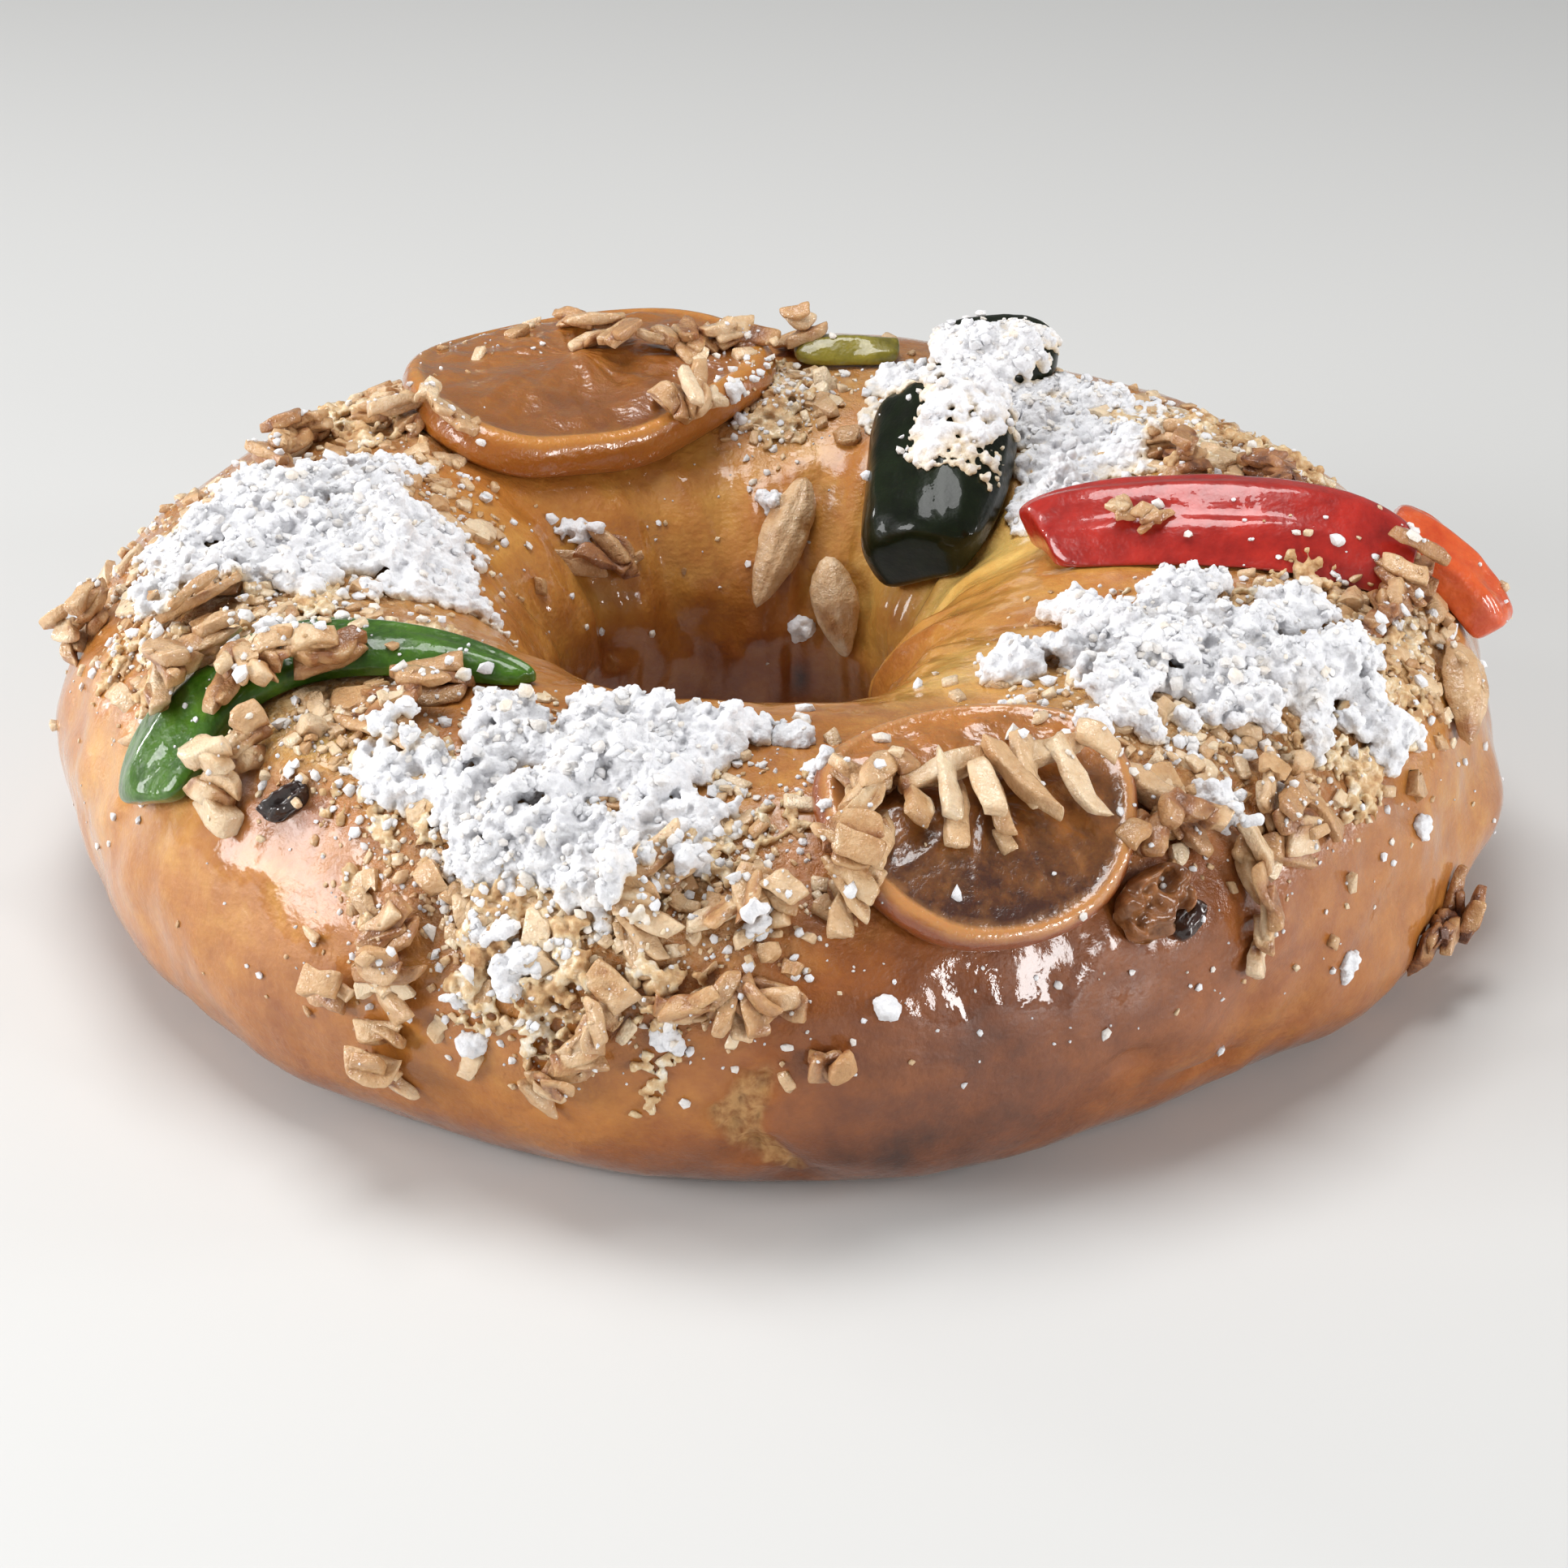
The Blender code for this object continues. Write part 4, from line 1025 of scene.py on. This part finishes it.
meal_paste = Finish(
    "damp_almond_meal", roughness=0.6, coat=0.5, coat_roughness=0.15, soft=0.2, soft_reach=(1, 0.7, 0.4)
)
meal_paste.feed("Base Color", meal_paste.ramp(
    meal_paste.sum((meal_paste.noise(0.0050, 3), 0.6), (meal_paste.noise(0.0014, 3), 0.4)),
    (0.36, (0.40, 0.20, 0.075)), (0.47, (0.60, 0.385, 0.19)), (0.55, (0.74, 0.56, 0.34)),
    (0.66, (0.86, 0.78, 0.66)),
))
meal_paste.feed("Coat Weight", meal_paste.fit(meal_paste.noise(0.005, 2), 0.42, 0.60, 0.0, 0.9))
meal_paste.bump(meal_paste.noise(0.0009, 4, 0.6), 0.0004)
MEAL = meal_paste.material


def small_ball(draw, crook=0.30):
    """A lumpy ball of a few faces, one unit across."""
    shape = bmesh.new()
    bmesh.ops.create_icosphere(shape, subdivisions=1, radius=0.5)
    for vert in shape.verts:
        vert.co *= 1 + draw.uniform(-crook, crook)
    mesh = bpy.data.meshes.new("small_ball")
    shape.to_mesh(mesh)
    shape.free()
    return mesh


under_sugar = surface_under([loaf] + fruit_pieces + knots + halves)
BALLS = [small_ball(random.Random(number)) for number in range(6)]
# sugar and crumbs stay this low, so that the dressed loaf keeps the model's height
CEILING = CAD_BOX[1][2] + 0.0016


# %% Grow the heaps
# what is lower than this counts as bare crust, where damp meal is laid between the toppings
LOW_KNOT, LOW_FRUIT = 0.0016, 0.0025


def grow_heap(place, length, width, thick, seed, count, bareness, buries=True, coarse=1.0):
    """Overlapping balls in an oval with a ragged edge. A higher bareness leaves more gaps.

    A heap that doesn't bury the toppings lies between them only, and a coarse one has larger balls.
    """
    draw = np.random.default_rng(seed)
    spread = draw.uniform(-1.12, 1.12, (count, 2))
    angle = np.arctan2(spread[:, 1], spread[:, 0])
    from_middle = np.hypot(spread[:, 0], spread[:, 1])
    from_middle /= 1 + 0.15 * np.sin(3 * angle + seed) + 0.10 * np.sin(7 * angle + 2 * seed)
    flat = np.column_stack((spread[:, 0] * length / 2, spread[:, 1] * width / 2, np.zeros(count)))
    lumps = ripple(flat, 0.0085, seed) + 0.55 * ripple(flat, 0.0034, seed + 3)
    keep = (from_middle < 1.05) & (lumps > bareness - 0.65 + 0.75 * np.clip(from_middle, 0, 1) ** 3)
    flat, from_middle, lumps = flat[keep], from_middle[keep], lumps[keep]
    crust_place, outward = on_crust(place, flat)
    seat = heights_over_crust(under_sugar, crust_place, outward)
    if not buries:
        lower = heights_over_crust(fruit_and_crust, crust_place, outward)
        clear = (seat - lower < LOW_KNOT) & (lower < LOW_FRUIT)
        flat, from_middle, lumps, seat = flat[clear], from_middle[clear], lumps[clear], seat[clear]
        crust_place, outward = crust_place[clear], outward[clear]
    # every other ball is a small clod on the surface, and the rest fill the body
    clod = np.arange(len(flat)) % 2 == 0
    small, large = draw.uniform(0.0010, 0.0026, len(flat)), draw.uniform(0.0022, 0.0046, len(flat))
    size = coarse * np.where(clod, small, large)
    top = thick * np.clip(1.08 - from_middle ** 2.5, 0.12, 1) * np.clip(0.60 + 0.85 * lumps, 0.12, 1.2)
    top += np.where(clod, draw.uniform(0.0, 0.0011, len(flat)), draw.uniform(-0.0010, 0.0, len(flat)))
    shape = bmesh.new()
    for index in range(len(flat)):
        ball_size = min(size[index], max(0.0010, 1.5 * top[index]))
        level = max(0.2 * ball_size, top[index] - 0.48 * ball_size)
        middle = Vector(crust_place[index] + outward[index] * (seat[index] + level))
        if middle.z + 0.5 * ball_size > CEILING:
            continue
        sizes = ball_size * draw.uniform(0.8, 1.25, 3)
        axis = Vector(draw.uniform(-1, 1, 3))
        put_copy(shape, BALLS[index % 6], frame_matrix(middle, axis, Vector(outward[index]), sizes))
    return shape


# node: place (ring, lean, turn), length, width, height, seed, balls and bareness
HEAPS = {
    "sugar_drift_left": ((187, 88, 90), 0.062, 0.060, 0.0076, 3, 4200, 0.08),
    "sugar_drift_front": ((251, 66, 10), 0.062, 0.044, 0.0076, 5, 3400, 0.20),
    "sugar_drift_front_low": ((249, 21, 100), 0.026, 0.022, 0.0032, 6, 1000, 0.92),
    "sugar_drift_right": ((321, 81, -35), 0.078, 0.058, 0.0078, 9, 6000, 0.46),
    "sugar_drift_figs": ((45.5, 112, -4), 0.064, 0.041, 0.0050, 14, 5400, -0.70),
}


# the skins' voxels, and how far from the syrup sugar is still damp
SUGAR_VOXEL, MEAL_VOXEL, CLOD_VOXEL, DAMP_DEPTH = 0.00042, 0.00046, 0.00040, 0.0016


def make_heap(name, form, finish, voxel, *nodes, **ways):
    """Fuses a heap. Its dampness grows towards the syrup below."""
    piece = add_piece(name, grow_heap(*form, **ways), finish, "sugar", *nodes)
    fuse(piece, voxel)
    roughen(piece, (0.00030, 0.0021), (0.00034, 0.0008))
    gap = np.array([under_sugar.find_nearest(Vector(place))[3] for place in places_of(piece.data)])
    paint_attribute(piece, "damp", np.clip(1 - gap / DAMP_DEPTH, 0, 1))
    print(name, triangles(piece), "triangles")
    return piece


heaps = []
for node, form in HEAPS.items():
    coarse = 1.2 if node.endswith("figs") else 1.0
    heaps.append(make_heap(node.replace("drift", "heap"), form, SUGAR, SUGAR_VOXEL, node, coarse=coarse))

# %% [markdown]
# Round the heaps, sugar and almond meal have set with the syrup into a thin cream-coloured rubble. It grows
# the same way, lower and with wide gaps, and is damp all through.

# %% The damp rubble and a few loose clods
RUBBLE = {
    "damp_rubble_front": ((252, 36, 10), 0.070, 0.060, 0.0022, 31, 5200, 0.30),
    "damp_rubble_left": ((208, 64, 60), 0.060, 0.042, 0.0022, 32, 3400, 0.36),
    "damp_rubble_right": ((330, 66, -10), 0.070, 0.062, 0.0022, 33, 4800, 0.34),
    "damp_rubble_back_right": ((26, 88, 20), 0.060, 0.034, 0.0024, 34, 2600, 0.36),
    "damp_rubble_back": ((93, 120, 80), 0.030, 0.018, 0.0022, 35, 1000, 0.16),
    "damp_rubble_back_left": ((150, 88, 80), 0.044, 0.044, 0.0020, 36, 1900, 0.58),
}
for name, form in RUBBLE.items():
    heaps.append(make_heap(name, form, MEAL, MEAL_VOXEL, buries=False, coarse=0.75))
# ring, lean and width of each clod
CLODS = (
    (17, 131, 0.013), (24, 126, 0.010), (307, 43, 0.0085), (273, 73, 0.0050), (147, 148, 0.0065),
    (271, 88, 0.006), (268, 33, 0.0040), (263, 46, 0.0055), (277, 16, 0.0030), (300, 70, 0.006),
    (248, 2, 0.0045), (262, 10, 0.0045), (94, 152, 0.0042), (99, 128, 0.0045), (330, 12, 0.004),
    (318, -8, 0.005), (214, 66, 0.004), (84, 178, 0.0045),
)
clods = bmesh.new()
for number, (ring, lean, width) in enumerate(CLODS):
    lump = grow_heap((ring, lean, 40 * number), width, width * 0.85, width * 0.62, 60 + number, 70, -1.0)
    part = bpy.data.meshes.new("clod")
    lump.to_mesh(part)
    lump.free()
    clods.from_mesh(part)
clod_piece = add_piece("sugar_clods", clods, SUGAR, "sugar")
fuse(clod_piece, CLOD_VOXEL)
roughen(clod_piece, (0.00035, 0.0021), (0.00025, 0.0009))
paint_attribute(clod_piece, "damp", np.zeros(len(clod_piece.data.vertices)))
heaps.append(clod_piece)
print("clods:", triangles(clod_piece), "triangles")

# %% [markdown]
# ## Crumbs and grains
#
# Between the heaps the crust is covered in small bits of almond and loose grains of sugar. They are
# thickest near the heaps. A few small shapes with a few dozen faces are copied many times, each with its
# own size and turn.

# %% Sprinkle crumbs and grains
# ring, lean, spread in ring and lean degrees, and how many almond crumbs, sugar grains and sugar lumps
SPRINKLES = (
    (250, 36, 10, 15, 760, 380, 70), (266, 38, 7, 12, 150, 90, 10), (223, 58, 9, 14, 420, 140, 20),
    (205, 62, 10, 16, 420, 150, 30), (320, 78, 16, 26, 1150, 420, 520), (341, 48, 9, 16, 460, 100, 20),
    (312, 40, 7, 10, 160, 60, 10), (172, 104, 14, 22, 420, 220, 60), (92, 119, 8, 11, 420, 200, 20),
    (26, 86, 15, 15, 520, 180, 40), (133, 74, 18, 14, 300, 50, 4), (186, 52, 14, 18, 380, 200, 40),
    (252, 8, 13, 9, 60, 60, 4), (187, 86, 18, 26, 260, 240, 380), (251, 66, 16, 18, 420, 220, 380),
    (50, 108, 15, 18, 160, 240, 300), (290, 10, 20, 16, 6, 24, 3), (330, 15, 22, 16, 8, 26, 3),
    (215, 10, 30, 18, 8, 16, 0), (110, 160, 34, 16, 8, 16, 1),
)


def crumb_template(draw):
    """A chopped crumb: a crooked cube with its edges broken."""
    shape = bmesh.new()
    bmesh.ops.create_cube(shape, size=1)
    for vert in shape.verts:
        vert.co += Vector((draw.uniform(-0.26, 0.26) for _ in range(3)))
    bmesh.ops.bevel(
        shape, geom=shape.edges[:], offset=0.15, offset_type="OFFSET", segments=1, profile=0.5,
        affect="EDGES", material=-1,
    )
    mesh = bpy.data.meshes.new("crumb_template")
    shape.to_mesh(mesh)
    shape.free()
    return mesh


# a bit that stands this much over the crust lies on an almond knot, or on a fruit
ON_KNOT, ON_FRUIT = 0.0012, 0.0020


def sprinkle(
    name, material, slot, attribute, templates, tree, seed, column, share, smallest, largest,
    stretch, on_toppings,
):
    """Scatters one kind of small bit over all the sprinkled places, as a single piece."""
    draw = random.Random(seed)
    shape = bmesh.new()
    marks = []
    for spot in SPRINKLES:
        ring, lean, wide, high = spot[:4]
        count = int(spot[column] * share)
        rings = [ring + draw.gauss(0, wide * 0.75) for _ in range(count)]
        leans = [lean + draw.gauss(0, high * 0.75) for _ in range(count)]
        points, _, _, outwards = crust_frame(rings, leans)
        for point, outward in zip(points, outwards):
            out = Vector(outward)
            size = smallest + (largest - smallest) * draw.random() ** 3
            seat = height_over_crust(tree, point, outward)
            lower = height_over_crust(fruit_and_crust, point, outward)
            middle = Vector(point) + out * (seat + size * 0.12)
            on_topping = seat - lower > ON_KNOT or lower > ON_FRUIT
            if middle.z < size * 0.6 or middle.z + size > CEILING:
                continue
            if on_topping and draw.random() > on_toppings:
                continue
            axis = Vector((draw.uniform(-1, 1) for _ in range(3)))
            axis -= out * axis.dot(out) * 0.75
            sizes = [size * draw.uniform(*limits) for limits in ((0.9, stretch), (0.75, 1.0), (0.55, 0.9))]
            template = draw.choice(templates)
            put_copy(shape, template, frame_matrix(middle, axis, out, sizes))
            marks += [draw.uniform(-0.08, 0.42)] * len(template.vertices)
    piece = add_piece(name, shape, material, slot)
    paint_attribute(piece, attribute, marks)
    return piece


CRUMBS = [crumb_template(random.Random(number)) for number in range(10)]
CHIPS = [chopped_flake(random.Random(number)) for number in range(40, 52)]
for chip in CHIPS:
    for vert in chip.vertices:
        vert.co.y *= 1.2
        vert.co.z *= 0.8
everything = surface_under([loaf] + fruit_pieces + knots + halves + heaps)
# piece, material, slot, attribute and templates, what they lie on, then seed, column of SPRINKLES,
# share of its count, smallest and largest, stretch, and the share that may lie on toppings
BITS = (
    ("almond_crumbs", ALMOND, "almond", "toast_and_shade", CRUMBS, under_sugar, 21, 4, 0.74, 0.0005, 0.0024, 1.9, 0.15),
    ("sugar_grains", SUGAR, "sugar", "damp", BALLS, everything, 22, 5, 1.5, 0.0004, 0.0020, 1.15, 0.5),
    ("sugar_lumps", SUGAR, "sugar", "damp", BALLS, everything, 24, 6, 1.0, 0.0008, 0.0030, 1.2, 1.0),
    ("almond_chips", ALMOND, "almond", "toast_and_shade", CHIPS, under_sugar, 23, 4, 0.060, 0.0022, 0.0044, 2.2, 0.1),
)
for form in BITS:
    bits = sprinkle(*form)
    bits.data.set_sharp_from_angle(angle=math.radians(62))
    print(bits.name, triangles(bits), "triangles")

# %% [markdown]
# ## Floor, light and camera
#
# The loaf stands on a plain pale floor. Syrup shows whatever is around it, so the light comes from soft
# panels. A broad one low at the left has its reflection along the front left shoulder, and one overhead
# lights the sugar. Four narrow ones, low at the left rear, the right side and the front right, draw the
# streaks on the glaze. The camera looks down on the loaf with a long lens.

# %% The floor
FLOOR_HALF_WIDTH = 4.0
shape = bmesh.new()
bmesh.ops.create_grid(shape, x_segments=1, y_segments=1, size=FLOOR_HALF_WIDTH)
floor_mesh = bpy.data.meshes.new("floor")
shape.to_mesh(floor_mesh)
shape.free()
floor = bpy.data.objects.new("floor", floor_mesh)
bpy.context.scene.collection.objects.link(floor)
floor_finish = Finish("pale_floor", roughness=0.6)
floor_finish.set("Base Color", (0.62, 0.62, 0.61, 1))
floor_mesh.materials.append(floor_finish.material)
floor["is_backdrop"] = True

# %% Lights
LOAF_MIDDLE = Vector((0.0, 0.0, 0.03))


def soft_panel(name, direction, distance, width, height, power):
    """An area light that faces the loaf."""
    light = bpy.data.lights.new(name, "AREA")
    light.shape = "RECTANGLE"
    light.size, light.size_y = width, height
    light.energy = power
    panel = bpy.data.objects.new(name, light)
    away = Vector(direction).normalized()
    panel.location = LOAF_MIDDLE + away * distance
    panel.rotation_euler = away.to_track_quat("Z", "Y").to_euler()
    bpy.context.scene.collection.objects.link(panel)


soft_panel("left_panel", (-0.88, -0.34, 0.34), 0.95, 0.46, 0.42, 7.5)
soft_panel("overhead_panel", (-0.10, 0.10, 1.0), 1.10, 0.60, 0.60, 9.7)
soft_panel("left_rear_panel", (-0.87, 0.42, 0.18), 1.00, 0.11, 0.22, 1.9)
soft_panel("right_side_panel", (0.96, -0.06, 0.20), 1.00, 0.16, 0.22, 2.6)
soft_panel("right_panel", (0.78, -0.60, 0.20), 1.05, 0.16, 0.34, 3.6)
soft_panel("front_strip", (0.54, -0.84, 0.13), 1.00, 0.09, 0.22, 1.6)
world = bpy.data.worlds.new("studio")
world.use_nodes = True
background = world.node_tree.nodes["Background"]
background.inputs["Color"].default_value = (1, 1, 1, 1)
background.inputs["Strength"].default_value = 0.22
bpy.context.scene.world = world
bpy.context.scene.view_settings.view_transform = "Standard"

# %% Camera
CAMERA_DISTANCE, CAMERA_ELEVATION, CAMERA_DIP = 0.600, 27.2, 0.80
camera_data = bpy.data.cameras.new("camera")
camera_data.lens, camera_data.sensor_width = 78.2, 36.0
camera_data.clip_start, camera_data.clip_end = 0.02, 20
camera = bpy.data.objects.new("camera", camera_data)
aim = Vector((*RING_CENTRE, 0.020))
elevation = math.radians(CAMERA_ELEVATION)
camera.location = aim + CAMERA_DISTANCE * Vector((0, -math.cos(elevation), math.sin(elevation)))
camera.rotation_euler = (math.radians(90 - CAMERA_ELEVATION - CAMERA_DIP), 0, 0)
bpy.context.scene.collection.objects.link(camera)
bpy.context.scene.camera = camera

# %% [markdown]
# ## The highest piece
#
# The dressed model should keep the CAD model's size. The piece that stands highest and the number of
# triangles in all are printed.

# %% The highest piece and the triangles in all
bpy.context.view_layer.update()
pieces = [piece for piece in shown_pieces() if piece.type == "MESH"]
highest = max(pieces, key=lambda piece: places_of(piece.data)[:, 2].max())
print("highest piece:", highest.name, "- triangles in all:", sum(map(triangles, pieces)))
